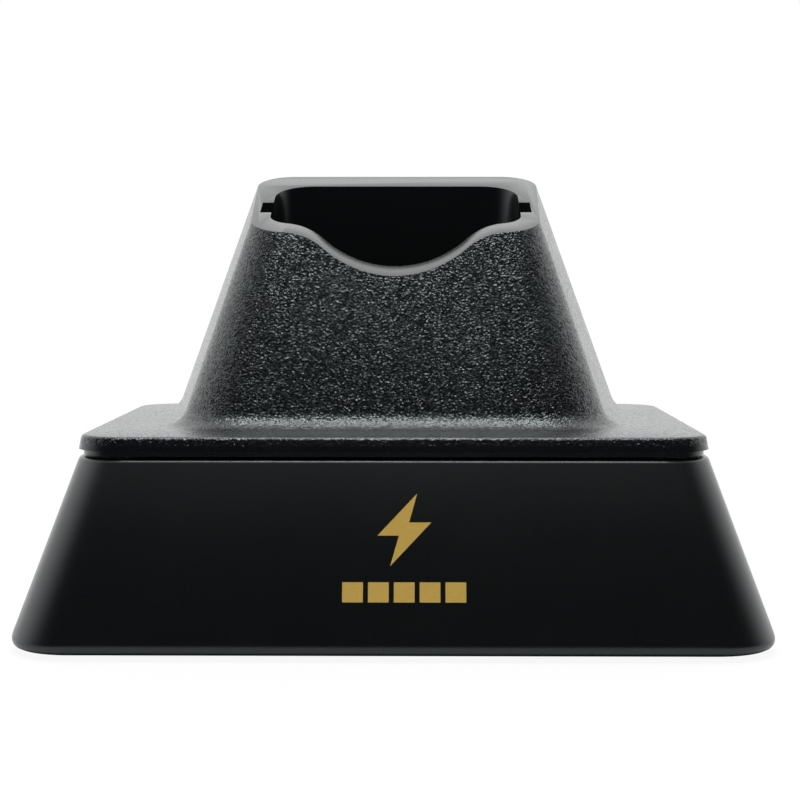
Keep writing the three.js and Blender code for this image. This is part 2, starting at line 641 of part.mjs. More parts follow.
const cornerNames = ['front_left', 'front_right', 'rear_right', 'rear_left'];
corners(FOOT.x, FOOT.y).forEach(([x, y], i) => {
  place(housings, `foot_${cornerNames[i]}`, foot(x, y), rubber);
});
corners(POST.x, POST.y).forEach(([x, y], i) => {
  place(housings, `cover_screw_${cornerNames[i]}`, screw(x, y, COVER_SCREW.face, COVER_SCREW),
    zincSteel);
});
cupScrewPlaces().forEach(([x, y], i) => {
  const face = CUP_SCREW.ear - CUP_SCREW.earThickness - GAP - WELL_SCREW.head;
  place(housings, `cup_screw_${cornerNames[i]}`, screw(x, y, face, WELL_SCREW), zincSteel);
});
ballastScrewPlaces().forEach(([x, y], i) => {
  const face = BALLAST.top + 0.2 + GAP + BALLAST_SCREW.head;
  place(housings, `ballast_screw_${['left', 'right'][i]}`, screw(x, y, face, BALLAST_SCREW),
    zincSteel);
});

['left', 'right'].forEach((side, i) => {
  const x = CONTACT.x * (i ? 1 : -1);
  place(contacts, `contact_sleeve_${side}`, contactSleeve(x), goldPlate);
  place(contacts, `contact_plunger_${side}`, contactPlunger(x), goldPlate);
  place(contacts, `contact_spring_${side}`, contactSpring(x), springSteel);
  place(contacts, `contact_wire_${side}`, contactWire(x), i ? wireRed : wireBlack);
  place(contacts, `block_screw_${side}`, screw(BLOCK.screwX * (i ? 1 : -1), WELL_MIDDLE,
    BLOCK.bottom - GAP - BLOCK_SCREW.head, BLOCK_SCREW), zincSteel);
});
place(contacts, 'contact_block', contactBlock(), naturalNylon);

place(electronics, 'circuit_board', circuitBoard(), boardGreen);
boardScrewPlaces().forEach(([x, y], i) => {
  place(electronics, `board_screw_${['left', 'right'][i]}`,
    screw(x, y, BOARD.top + GAP + BOARD_SCREW.head, BOARD_SCREW), zincSteel);
});
place(electronics, 'filter_capacitor', capacitor(), canSleeve);
place(electronics, 'charge_control_chip', chargeChip(), jackBlack);
place(electronics, 'rectifier_diode', rectifier(), jackBlack);

place(inlet, 'dc_jack_body', jackBody(), jackBlack);
place(inlet, 'dc_jack_pin', jackPin(), goldPlate);
place(inlet, 'dc_jack_leaf', jackLeaf(), springSteel);

export default group;
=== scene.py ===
import json
import math

import bpy
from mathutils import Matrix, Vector


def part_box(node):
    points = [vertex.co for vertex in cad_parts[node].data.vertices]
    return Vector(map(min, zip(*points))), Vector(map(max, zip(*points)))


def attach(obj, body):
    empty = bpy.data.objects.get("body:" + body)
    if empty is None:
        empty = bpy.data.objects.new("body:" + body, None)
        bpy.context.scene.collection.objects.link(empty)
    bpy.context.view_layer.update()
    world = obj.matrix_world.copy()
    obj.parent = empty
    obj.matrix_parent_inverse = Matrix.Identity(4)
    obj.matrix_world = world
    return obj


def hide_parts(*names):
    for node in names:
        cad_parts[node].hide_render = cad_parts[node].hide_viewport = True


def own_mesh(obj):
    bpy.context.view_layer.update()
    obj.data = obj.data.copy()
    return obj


bl_info = {
    "name": "Clipper Charging Stand",
    "version": (1, 0, 0),
    "blender": (4, 5, 0),
    "location": "View3D > Sidebar > Charging Stand",
    "description": "Models the mouldings, contacts, screws and finishes of a charging stand",
    "category": "Object",
}

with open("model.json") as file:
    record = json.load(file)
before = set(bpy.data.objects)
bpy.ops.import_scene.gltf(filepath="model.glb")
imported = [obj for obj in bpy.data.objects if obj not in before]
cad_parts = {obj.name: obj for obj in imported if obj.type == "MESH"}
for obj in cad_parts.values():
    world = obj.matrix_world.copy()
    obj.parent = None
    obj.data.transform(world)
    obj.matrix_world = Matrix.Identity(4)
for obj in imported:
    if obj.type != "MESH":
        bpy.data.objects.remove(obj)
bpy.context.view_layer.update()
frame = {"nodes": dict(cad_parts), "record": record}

MM = 0.001
CORNERS = ("front_left", "front_right", "rear_right", "rear_left")
SIDES = ("left", "right")
STAND = "stand"
CLOSE = 0.01 * MM
RING_STEP = 10 * MM              # see loft()


def millimetres(name, description, default):
    """A length property, stored in metres, with its default given in millimetres."""
    return bpy.props.FloatProperty(name=name, description=description, default=default * MM,
                                   unit="LENGTH", precision=5)


def colour(name, description, default):
    """A colour property. The default is an sRGB hex value."""
    return bpy.props.FloatVectorProperty(name=name, description=description, subtype="COLOR",
                                         size=3, min=0, max=1, default=linear(default))


def linear(hex_value):
    """The linear red, green and blue of an sRGB hex value such as 0x1c1e20."""
    shares = [((hex_value >> shift) & 255) / 255 for shift in (16, 8, 0)]
    return tuple(s / 12.92 if s <= 0.04045 else ((s + 0.055) / 1.055) ** 2.4 for s in shares)


class StandSizes(bpy.types.PropertyGroup):
    """Sizes of the mouldings that the frame's boxes don't give by themselves."""

    wall: millimetres("Wall", "Thickness of the moulded walls", 2.6)
    skirt_draft: bpy.props.FloatProperty(
        name="Skirt draft", description="Sideways run of the skirt for each unit of height",
        default=0.3507)
    skirt_corner_low: millimetres("Skirt corner, low", "Plan corner radius at the bottom", 10.5)
    skirt_corner_high: millimetres("Skirt corner, high", "Plan corner radius at the top", 8)
    skirt_edge: millimetres("Skirt bottom edge", "Rounding under the skirt", 2)
    skirt_top_edge: millimetres("Skirt top edge", "Rounding along the groove", 0.6)
    opening_width: millimetres("Opening half width", "Half width of the skirt's opening", 42.5)
    opening_depth: millimetres("Opening half depth", "Half depth of the skirt's opening", 31.5)
    plate_thickness: millimetres("Plate thickness", "Height of the flange plate's edge", 2.2)
    plate_flare: millimetres("Plate flare", "How much wider the plate is at its underside", 0.45)
    plate_corner: millimetres("Plate corner", "Plan corner radius of the plate", 7)
    plate_edge: millimetres("Plate edge", "Rounding of the plate's upper edge", 0.5)
    groove_depth: millimetres("Groove depth", "Depth of the groove under the plate", 0.75)
    tower_fillet: millimetres("Tower fillet", "Rounding where the tower meets the plate", 2.6)
    rim_lip: millimetres("Rim lip", "Rounding of the rim's edges", 0.45)
    mark_width: millimetres("Mark width", "Width of the printed mark on the front", 18.3)


class StandColours(bpy.types.PropertyGroup):
    """Base colours of the finishes."""

    textured_abs: colour("Textured ABS", "Upper housing", 0x0A0C0D)
    satin_abs: colour("Satin ABS", "Skirt", 0x08090A)
    plain_abs: colour("Plain ABS", "Well pocket and bottom cover", 0x0C0C0D)
    gold_ink: colour("Gold ink", "Printed mark", 0xC6A552)
    rubber: colour("Rubber", "Feet", 0x1B1B1C)
    zinc: colour("Zinc plate", "Screws", 0xC4C8CC)
    gold: colour("Gold plate", "Charging contacts", 0xE0B354)
    solder_mask: colour("Solder mask", "Circuit board", 0x17502E)


# ---- tools for modelling ----
def box_of(*nodes):
    """Lowest and highest corner of one or more CAD nodes taken together."""
    corners = [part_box(node) for node in nodes]
    low = Vector([min(c[0][axis] for c in corners) for axis in range(3)])
    high = Vector([max(c[1][axis] for c in corners) for axis in range(3)])
    return low, high


def deselect_all():
    """Leaves object mode with nothing selected."""
    if bpy.context.object and bpy.context.object.mode != "OBJECT":
        bpy.ops.object.mode_set(mode="OBJECT")
    bpy.ops.object.select_all(action="DESELECT")


def make_active(piece):
    """Selects one object alone and makes it the active one."""
    deselect_all()
    piece.select_set(True)
    bpy.context.view_layer.objects.active = piece


def named(name, scale=(1, 1, 1)):
    """Names the primitive just added, and moves its size and place into its mesh."""
    piece = bpy.context.object
    piece.name = name
    piece.data.name = name
    piece.scale = scale
    bpy.ops.object.transform_apply(location=True, rotation=True, scale=True)
    return piece


def edit(piece, kind="VERT"):
    """Opens a piece in edit mode with nothing selected."""
    make_active(piece)
    bpy.ops.object.mode_set(mode="EDIT")
    bpy.ops.mesh.select_mode(type=kind)
    bpy.ops.mesh.select_all(action="DESELECT")


def select_where(piece, kind, wanted):
    """In edit mode, selects the vertices, edges or faces whose middle passes a test."""
    bpy.ops.object.mode_set(mode="OBJECT")
    mesh = piece.data
    points = [v.co for v in mesh.vertices]
    for group in (mesh.vertices, mesh.edges, mesh.polygons):
        group.foreach_set("select", [False] * len(group))
    if kind == "VERT":
        for vertex in mesh.vertices:
            vertex.select = wanted(vertex.co)
    elif kind == "EDGE":
        for edge in mesh.edges:
            ends = [points[i] for i in edge.vertices]
            edge.select = all(wanted(end) for end in ends)
    else:
        for face in mesh.polygons:
            face.select = wanted(face)
    bpy.ops.object.mode_set(mode="EDIT")
    bpy.ops.mesh.select_mode(type=kind)


def ball_corner(radius, interior):
    """How far from a corner its tangent arc starts."""
    return radius / math.tan(interior / 2)


def add_ring(name, ring, steps):
    """A loop of edges: four corners, each with its arc. It is kept in a group of its own."""
    z, front, back, half_front, half_back, radius_front, radius_back = ring
    middle = (front + back) / 2
    deselect_all()
    bpy.ops.mesh.primitive_plane_add(size=1, location=(0, middle, z))
    plane = named(name, (2 * half_front, back - front, 1))
    edit(plane)
    select_where(plane, "VERT", lambda co: co.y > middle)
    bpy.ops.transform.resize(value=(half_back / half_front, 1, 1),
                             center_override=(0, back, z))
    lean = math.atan((half_back - half_front) / (back - front))
    arcs = ((lambda co: co.y < front + CLOSE, radius_front, math.pi / 2 + lean),
            (lambda co: co.y > back - CLOSE, radius_back, math.pi / 2 - lean))
    for wanted, radius, interior in arcs:
        select_where(plane, "VERT", wanted)
        bpy.ops.mesh.bevel(offset_type="OFFSET", offset=ball_corner(radius, interior),
                           segments=steps, profile=0.5, affect="VERTICES")
    bpy.ops.mesh.select_all(action="SELECT")
    bpy.ops.mesh.delete(type="ONLY_FACE")
    bpy.ops.object.mode_set(mode="OBJECT")
    group = plane.vertex_groups.new(name=name)
    group.add(list(range(len(plane.data.vertices))), 1, "REPLACE")
    return plane


def select_groups(*names):
    """In edit mode, selects the loops kept in these groups and nothing else."""
    bpy.ops.mesh.select_all(action="DESELECT")
    for name in names:
        bpy.ops.object.vertex_group_set_active(group=name)
        bpy.ops.object.vertex_group_select()


def loft(name, rings, steps=12, closed=False):
    """Bridges a stack of rings. Its ends are capped, or joined to each other when closed.

    Two rings of one height and one middle would be bridged crosswise, so that the rings are
    bridged one well above the other and are then let down to their heights.
    """
    labels = [f"ring_{k:02d}" for k in range(len(rings))]
    loops = [add_ring(label, (ring[0] + k * RING_STEP, *ring[1:]), steps)
             for k, (label, ring) in enumerate(zip(labels, rings))]
    deselect_all()
    for loop in loops:
        loop.select_set(True)
    bpy.context.view_layer.objects.active = loops[0]
    if len(loops) > 1:
        bpy.ops.object.join()
    piece = bpy.context.object
    piece.name = name
    piece.data.name = name
    edit(piece)
    for low, high in zip(labels, labels[1:]):
        select_groups(low, high)
        bpy.ops.mesh.bridge_edge_loops()
    if closed:
        select_groups(labels[-1], labels[0])
        bpy.ops.mesh.bridge_edge_loops()
    else:
        for end in (labels[0], labels[-1]):
            select_groups(end)
            bpy.ops.mesh.edge_face_add()
    for k, label in enumerate(labels):
        select_groups(label)
        bpy.ops.transform.translate(value=(0, 0, -k * RING_STEP))
    bpy.ops.mesh.select_all(action="SELECT")
    bpy.ops.mesh.normals_make_consistent(inside=False)
    bpy.ops.object.mode_set(mode="OBJECT")
    piece.vertex_groups.clear()
    return piece


def arc_steps(radius, count):
    """Points of a quarter round: (height from the end plane, inset from the side)."""
    angles = [math.pi / 2 * k / count for k in range(count + 1)]
    return [(radius * (1 - math.cos(a)), radius * (1 - math.sin(a))) for a in angles]


def single_vertex(name, place):
    """A mesh with one vertex, left open in edit mode with that vertex selected."""
    deselect_all()
    bpy.ops.mesh.primitive_plane_add(size=MM, location=place)
    piece = named(name)
    edit(piece)
    bpy.ops.mesh.select_all(action="SELECT")
    bpy.ops.mesh.merge(type="CENTER")
    return piece


def extend(step):
    """Extrudes the selected vertex by a step."""
    bpy.ops.mesh.extrude_vertices_move(TRANSFORM_OT_translate={"value": step})


def turn(name, profile, middle, steps=48, axis=(0, 0, 1)):
    """Turns a profile of (radius, height) points about an axis through a point."""
    upright = Vector(axis)
    side = Vector((1, 0, 0)) if abs(upright.x) < 0.5 else Vector((0, 1, 0))
    points = [Vector(middle) + side * r + upright * h for r, h in profile]
    piece = single_vertex(name, points[0])
    for before, after in zip(points, points[1:]):
        extend(after - before)
    bpy.ops.mesh.select_all(action="SELECT")
    bpy.ops.mesh.spin(steps=steps, angle=2 * math.pi, center=middle, axis=axis)
    bpy.ops.mesh.select_all(action="SELECT")
    bpy.ops.mesh.remove_doubles(threshold=CLOSE / 10)
    bpy.ops.mesh.normals_make_consistent(inside=False)
    bpy.ops.object.mode_set(mode="OBJECT")
    return piece


def add_block(name, low, high):
    """A box between two corners."""
    deselect_all()
    low, high = Vector(low), Vector(high)
    bpy.ops.mesh.primitive_cube_add(size=1, location=(low + high) / 2)
    return named(name, high - low)


def add_post(name, place, radius, low, high, sides=48):
    """An upright cylinder."""
    deselect_all()
    bpy.ops.mesh.primitive_cylinder_add(radius=radius, depth=high - low, vertices=sides,
                                        location=(place[0], place[1], (low + high) / 2))
    return named(name)


def merge_with(piece, other, operation):
    """Joins a second solid to a piece, or cuts it away, and removes the second solid."""
    make_active(piece)
    modifier = piece.modifiers.new("boolean", "BOOLEAN")
    modifier.operation = operation
    modifier.solver = "EXACT"
    modifier.object = other
    bpy.ops.object.modifier_apply(modifier=modifier.name)
    bpy.data.objects.remove(other)
    return piece


def cut(piece, *cutters):
    """Cuts solids away from a piece, one after the other."""
    for cutter in cutters:
        merge_with(piece, cutter, "DIFFERENCE")
    return piece


def add(piece, *others):
    """Joins solids to a piece, one after the other."""
    for other in others:
        merge_with(piece, other, "UNION")
    return piece


def round_edges(piece, width, limit=40, segments=3, above=-math.inf):
    """Rounds every edge that is sharper than a limit in degrees and lies above a height."""
    edit(piece, "EDGE")
    bpy.ops.mesh.edges_select_sharp(sharpness=math.radians(limit))
    bpy.ops.object.mode_set(mode="OBJECT")
    mesh = piece.data
    heights = [vertex.co.z for vertex in mesh.vertices]
    weights = mesh.attributes.new("bevel_weight_edge", "FLOAT", "EDGE")
    for edge, weight in zip(mesh.edges, weights.data):
        lowest = min(heights[i] for i in edge.vertices)
        weight.value = float(edge.select and lowest > above)
    bpy.ops.object.modifier_add(type="BEVEL")
    bevel = piece.modifiers[-1]
    bevel.width = width
    bevel.segments = segments
    bevel.limit_method = "WEIGHT"
    bevel.use_clamp_overlap = True
    bpy.ops.object.modifier_apply(modifier=bevel.name)
    return piece


def tidy(piece):
    """Merges doubles and drops faces without area, which a cut can leave behind."""
    edit(piece)
    bpy.ops.mesh.select_all(action="SELECT")
    bpy.ops.mesh.remove_doubles(threshold=CLOSE / 5)
    bpy.ops.mesh.dissolve_degenerate(threshold=CLOSE / 5)
    bpy.ops.object.mode_set(mode="OBJECT")
    return piece


def finish_piece(piece, material, slot, body, *replaced, smooth=35):
    """Shades a piece, gives it its material, and sets it on its body. The slot is not used."""
    make_active(piece)
    bpy.ops.object.shade_smooth_by_angle(angle=math.radians(smooth))
    piece.data.materials.clear()
    piece.data.materials.append(material)
    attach(piece, body)
    if replaced:
        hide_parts(*replaced)
    return piece


# ---- finishes ----
def add_node(tree, kind, inputs=(), **settings):
    """Adds a node, sets it, and fills its inputs from values or from other nodes' sockets."""
    made = tree.nodes.new(kind)
    for name, value in settings.items():
        setattr(made, name, value)
    for name, value in dict(inputs).items():
        if isinstance(value, bpy.types.NodeSocket):
            tree.links.new(value, made.inputs[name])
        else:
            made.inputs[name].default_value = value
    return made


def new_finish(name):
    """An empty material, its node tree and its object coordinates, in metres."""
    material = bpy.data.materials.new(name)
    material.use_nodes = True
    material.node_tree.nodes.clear()
    place = add_node(material.node_tree, "ShaderNodeTexCoord").outputs["Object"]
    return material, material.node_tree, place


def shade(tree, **inputs):
    """The surface shader and the output. Input names use _ for a space."""
    sockets = {name.replace("_", " "): value for name, value in inputs.items()}
    shader = add_node(tree, "ShaderNodeBsdfPrincipled", sockets)
    add_node(tree, "ShaderNodeOutputMaterial", {"Surface": shader.outputs["BSDF"]})


def grain(tree, place, size, detail=2.0, roughness=0.5):
    """Noise with grains of a real size in metres."""
    inputs = {"Vector": place, "Scale": 1 / size, "Detail": detail, "Roughness": roughness}
    return add_node(tree, "ShaderNodeTexNoise", inputs).outputs["Fac"]


def between(tree, share, low, high):
    """Maps a 0 to 1 share onto a range."""
    inputs = {"Value": share, "To Min": low, "To Max": high}
    return add_node(tree, "ShaderNodeMapRange", inputs).outputs["Result"]


def tones(tree, share, low, high):
    """Blends two colours by a 0 to 1 share."""
    mix = add_node(tree, "ShaderNodeMix", data_type="RGBA")
    tree.links.new(share, mix.inputs["Factor"])
    for socket, value in (("A", low), ("B", high)):
        found = [s for s in mix.inputs if s.name == socket and s.type == "RGBA"][0]
        found.default_value = (*value, 1)
    return [s for s in mix.outputs if s.type == "RGBA"][0]


def bump(tree, height, distance, strength=1.0, normal=None):
    """Turns a 0 to 1 height into relief of a real depth in metres."""
    inputs = {"Height": height, "Distance": distance, "Strength": strength}
    if normal is not None:
        inputs["Normal"] = normal
    return add_node(tree, "ShaderNodeBump", inputs).outputs["Normal"]


def scaled(value, factor):
    """A colour made darker or lighter."""
    return tuple(min(1.0, part * factor) for part in value)


def outer_walls(tree, place):
    """1 on the faces that the eroded half of the mould formed, 0 in the well and on its rim."""
    normal = add_node(tree, "ShaderNodeNewGeometry").outputs["True Normal"]
    parts = add_node(tree, "ShaderNodeSeparateXYZ", {"Vector": place}).outputs
    from_axis = add_node(tree, "ShaderNodeCombineXYZ",
                         {"X": parts["X"], "Y": parts["Y"], "Z": 0.0}).outputs[0]
    away = add_node(tree, "ShaderNodeVectorMath", {0: from_axis}, operation="NORMALIZE").outputs[0]
    facing = add_node(tree, "ShaderNodeVectorMath", {0: normal, 1: away},
                      operation="DOT_PRODUCT").outputs["Value"]
    below = add_node(tree, "ShaderNodeMath", {0: parts["Z"], 1: BELOW_RIM},
                     operation="LESS_THAN").outputs[0]
    total = add_node(tree, "ShaderNodeMath", {0: facing, 1: below}, operation="ADD").outputs[0]
    outer = add_node(tree, "ShaderNodeMapRange",
                     {"Value": total, "From Min": 0.3, "From Max": 0.5}).outputs["Result"]
    # The lower half of the flange's edge was in the polished half of the mould.
    upper = add_node(tree, "ShaderNodeMath", {0: parts["Z"], 1: ERODED_FROM},
                     operation="GREATER_THAN").outputs[0]
    return add_node(tree, "ShaderNodeMath", {0: outer, 1: upper}, operation="MULTIPLY").outputs[0]


def glitter(tree, place, size, tilt):
    """Normals that tip a different way on each grain, so that single grains catch the light."""
    cells = add_node(tree, "ShaderNodeTexVoronoi", {"Vector": place, "Scale": 1 / size})
    middle = add_node(tree, "ShaderNodeVectorMath",
                      {0: cells.outputs["Color"], 1: (0.5, 0.5, 0.5)}, operation="SUBTRACT")
    tipped = add_node(tree, "ShaderNodeVectorMath", {0: middle.outputs[0], "Scale": tilt},
                      operation="SCALE")
    normal = add_node(tree, "ShaderNodeNewGeometry").outputs["Normal"]
    total = add_node(tree, "ShaderNodeVectorMath", {0: normal, 1: tipped.outputs[0]},
                     operation="ADD")
    return add_node(tree, "ShaderNodeVectorMath", {0: total.outputs[0]},
                    operation="NORMALIZE").outputs[0]


def spark_eroded_abs(base):
    """Black ABS from a coarse spark-eroded mould: glossy pits and hills that glitter."""
    material, tree, place = new_finish("Spark-eroded black ABS")
    # The eroded skin is a jumble of craters and hills about 0.4 mm wide.
    eroded = outer_walls(tree, place)
    tilt = between(tree, eroded, 0.0, 0.26)
    hills = grain(tree, place, 0.34 * MM, detail=1, roughness=0.5)
    relief = bump(tree, hills, 0.12 * MM, strength=eroded,
                  normal=glitter(tree, place, 0.32 * MM, tilt))
    cloud = grain(tree, place, 14 * MM)
    # Wiping and handling leave patches a little glossier than the rest.
    shade(tree, Base_Color=tones(tree, cloud, scaled(base, 0.9), scaled(base, 1.15)),
          Roughness=between(tree, cloud, 0.22, 0.26), Normal=relief, IOR=1.5,
          Specular_Tint=COOL)
    return material


def satin_abs(base):
    """Black ABS from a finely blasted mould: even and dark, with a soft sheen."""
    material, tree, place = new_finish("Fine satin black ABS")
    # Grit marks of about 0.2 mm are just too fine to see one by one.
    relief = bump(tree, grain(tree, place, 0.2 * MM, detail=2), 0.012 * MM)
    cloud = grain(tree, place, 20 * MM)
    shade(tree, Base_Color=tones(tree, cloud, scaled(base, 0.92), scaled(base, 1.1)),
          Roughness=between(tree, cloud, 0.25, 0.3), Normal=relief, IOR=1.5,
          Specular_Tint=COOL)
    return material


def plain_abs(base):
    """Unseen black mouldings: a duller draw-polished face with faint drag lines."""
    material, tree, place = new_finish("Draw-polished black ABS")
    stretched = add_node(tree, "ShaderNodeMapping",
                         {"Vector": place, "Scale": (1, 1, 0.06)}).outputs["Vector"]
    relief = bump(tree, grain(tree, stretched, 0.3 * MM, detail=2), 0.01 * MM)
    cloud = grain(tree, place, 12 * MM)
    shade(tree, Base_Color=tones(tree, cloud, scaled(base, 0.9), scaled(base, 1.15)),
          Roughness=between(tree, cloud, 0.42, 0.52), Normal=relief, IOR=1.5)
    return material


def gold_ink(base):
    """Pad-printed metallic ink: flake in lacquer, with a slightly broken gloss."""
    material, tree, place = new_finish("Pad-printed gold ink")
    flake = grain(tree, place, 0.25 * MM, detail=3)
    shade(tree, Base_Color=tones(tree, flake, scaled(base, 1.05), scaled(base, 1.35)),
          Roughness=between(tree, flake, 0.42, 0.6), Metallic=0.55,
          Normal=bump(tree, flake, 0.008 * MM))
    return material


def moulded_rubber(base):
    """Black rubber feet: matt, a little dusty."""
    material, tree, place = new_finish("Matt moulded rubber")
    dust = grain(tree, place, 1.5 * MM, detail=4)
    shade(tree, Base_Color=tones(tree, dust, scaled(base, 0.85), scaled(base, 1.5)),
          Roughness=between(tree, dust, 0.72, 0.9), IOR=1.52,
          Normal=bump(tree, grain(tree, place, 0.25 * MM), 0.02 * MM))
    return material


def zinc_plate(base):
    """Bright zinc-plated screws: pale steel with a faint yellow-blue cloud."""
    material, tree, place = new_finish("Bright zinc-plated steel")
    cloud = grain(tree, place, 1.2 * MM, detail=3)
    shade(tree, Base_Color=tones(tree, cloud, scaled(base, 0.85), base), Metallic=1.0,
          Roughness=between(tree, cloud, 0.22, 0.38),
          Normal=bump(tree, grain(tree, place, 0.12 * MM), 0.004 * MM))
    return material


def rolled_steel(base):
    """Cut steel plate: dull grey with rolling marks along its length."""
    material, tree, place = new_finish("Rolled mild steel")
    along = add_node(tree, "ShaderNodeMapping",
                     {"Vector": place, "Scale": (0.04, 1, 1)}).outputs["Vector"]
    lines = grain(tree, along, 0.3 * MM, detail=4)
    shade(tree, Base_Color=tones(tree, lines, scaled(base, 0.7), base), Metallic=1.0,
          Roughness=between(tree, lines, 0.38, 0.6), Normal=bump(tree, lines, 0.01 * MM))
    return material


def gold_plate(base):
    """Gold plate on turned brass: warm mirror with fine turning rings."""
    material, tree, place = new_finish("Gold-plated turned brass")
    rings = add_node(tree, "ShaderNodeMapping",
                     {"Vector": place, "Scale": (0.1, 0.1, 1)}).outputs["Vector"]
    lines = grain(tree, rings, 0.12 * MM, detail=2)
    shade(tree, Base_Color=tones(tree, lines, scaled(base, 0.88), base), Metallic=1.0,
          Roughness=between(tree, lines, 0.16, 0.28), Normal=bump(tree, lines, 0.003 * MM))
    return material


def spring_wire():
    """Drawn spring steel: bright, with a light oil film."""
    material, tree, place = new_finish("Drawn spring steel")
    cloud = grain(tree, place, 0.5 * MM)
    shade(tree, Base_Color=tones(tree, cloud, linear(0xA8ABAE), linear(0xCDD0D2)),
          Metallic=1.0, Roughness=between(tree, cloud, 0.2, 0.34))
    return material


def natural_nylon():
    """Unpigmented nylon: milky and slightly translucent."""
    material, tree, place = new_finish("Natural nylon")
    cloud = grain(tree, place, 4 * MM)
    shade(tree, Base_Color=tones(tree, cloud, linear(0xCFC8B2), linear(0xE2DCC9)),
          Roughness=between(tree, cloud, 0.4, 0.55), Subsurface_Weight=0.2,
          Subsurface_Scale=1.5 * MM, IOR=1.53,
          Normal=bump(tree, grain(tree, place, 0.3 * MM), 0.01 * MM))
    return material


def solder_mask(base):
    """Green solder mask over glass-epoxy: the weave shows faintly through the gloss."""
    material, tree, place = new_finish("Solder-masked glass epoxy")
    weave = add_node(tree, "ShaderNodeTexWave", {"Vector": place, "Scale": 1 / (3 * MM),
                                                 "Distortion": 2.0, "Detail": 2.0})
    share = weave.outputs["Fac"]
    shade(tree, Base_Color=tones(tree, share, scaled(base, 0.85), scaled(base, 1.25)),
          Roughness=between(tree, share, 0.22, 0.32), IOR=1.55,
          Normal=bump(tree, share, 0.006 * MM))
    return material


def moulded_component(name, low, high, roughness):
    """Hard moulded or sleeved component skin, with a slightly uneven gloss."""
    material, tree, place = new_finish(name)
    cloud = grain(tree, place, 0.6 * MM, detail=3)
    shade(tree, Base_Color=tones(tree, cloud, linear(low), linear(high)),
          Roughness=between(tree, cloud, roughness - 0.06, roughness + 0.08), IOR=1.52,
          Normal=bump(tree, cloud, 0.006 * MM))
    return material


def make_finishes(colours):
    """One material for each slot of the record."""
    return {
        "textured_black": spark_eroded_abs(colours.textured_abs),
        "satin_black": satin_abs(colours.satin_abs),
        "plain_black": plain_abs(colours.plain_abs),
        "printed_gold": gold_ink(colours.gold_ink),
        "foot_rubber": moulded_rubber(colours.rubber),
        "zinc_screw": zinc_plate(colours.zinc),
        "ballast_steel": rolled_steel(linear(0x8A8D90)),
        "contact_gold": gold_plate(colours.gold),
        "spring_steel": spring_wire(),
        "nylon_natural": natural_nylon(),
        "board_green": solder_mask(colours.solder_mask),
        "black_component": moulded_component("Black epoxy", 0x0E0E0F, 0x1A1A1C, 0.4),
        "capacitor_sleeve": moulded_component("Blue shrink sleeve", 0x1B2A4A, 0x2A3F6B, 0.3),
        "wire_red": moulded_component("Red PVC", 0x9E1B18, 0xBC2A24, 0.42),
        "wire_black": moulded_component("Black PVC", 0x111112, 0x1C1C1E, 0.42),
    }


FINISHES = {}


# ---- shapes that several pieces share ----
SKIRT_LOW, SKIRT_HIGH = box_of("skirt_base")
HOUSING_LOW, HOUSING_HIGH = box_of("upper_housing")
COVER_LOW, COVER_HIGH = box_of("bottom_cover")

SKIRT_FOOT = (58.35 * MM, 45.8 * MM)  # half width and depth at the bottom, edge left sharp

TOWER_FRONT = -21.75 * MM        # foot of the tower's front wall
TOWER_BACK = 29.85 * MM          # foot of its back wall
TOWER_HALF = 36.81 * MM          # half width of the foot, where y is 0
TOWER_FRONT_DRAFT = 0.33         # each wall leans in by this share of the height
TOWER_BACK_DRAFT = 0.2
TOWER_SIDE_DRAFT = 0.362
TOWER_SPREAD = 0.15              # the tower widens towards the back
TOWER_CORNER_FRONT = 11.2 * MM
TOWER_CORNER_BACK = 11 * MM
TOWER_CORNER_LOSS = 0.13         # corners get tighter with height
PLATE_TOP = 32.3 * MM

BELOW_RIM = 45 * MM              # every outer face lower than this is eroded
ERODED_FROM = 31 * MM            # the mould's eroded half starts here, on the flange's edge

RIM_SLOPE = 0.3257
RIM_AT_MIDDLE = 67.315 * MM      # height of the rim's plane where y is 0
FRONT_WALL = 4.3 * MM
SCOOP_HALF = 18.4 * MM
SCOOP_DEPTH = 6.3 * MM
SCOOP_BOWL = 19.2 * MM
SCOOP_LIP = 10.8 * MM

WELL_FLOOR = 26 * MM
WELL_KNEE = 49 * MM
WELL_TOP = 82 * MM
WELL_HALF = (20.2 * MM, 20.6 * MM, 21.3 * MM)   # half width at the floor, knee and top
WELL_BACK = (14.6 * MM, 14.9 * MM, 15.4 * MM)   # back wall at the same three heights
WELL_FRONT = -11.6 * MM          # front wall at the floor; above it follows the tower
WELL_CORNERS = (3.8 * MM, 6.5 * MM)   # front and back
WELL_WALL = 2 * MM
COLLAR_DEPTH = 16 * MM
KEYWAY_FRONT = -0.4 * MM
KEYWAY_BACK = 5.4 * MM
KEYWAY_REACH = 22.9 * MM         # from the middle to the back of either keyway
FAR = 60 * MM                    # reaches past any moulding
CUP_EAR = (28.6 * MM, 31 * MM)   # underside and top of the pocket's screw ears

SHANKS = {"cover_screw": 1.45 * MM, "cup_screw": 1.3 * MM, "ballast_screw": 1.1 * MM,
          "block_screw": 1.1 * MM, "board_screw": 1.1 * MM}

INK_DEPTH = 0.05 * MM            # thickness of the ink as a solid
INK_PROUD = 0.03 * MM            # how far it stands off the skirt
MARK_ACROSS = 1.8 * MM
MARK_BASE = 13.7 * MM            # height of the foot of the bolt

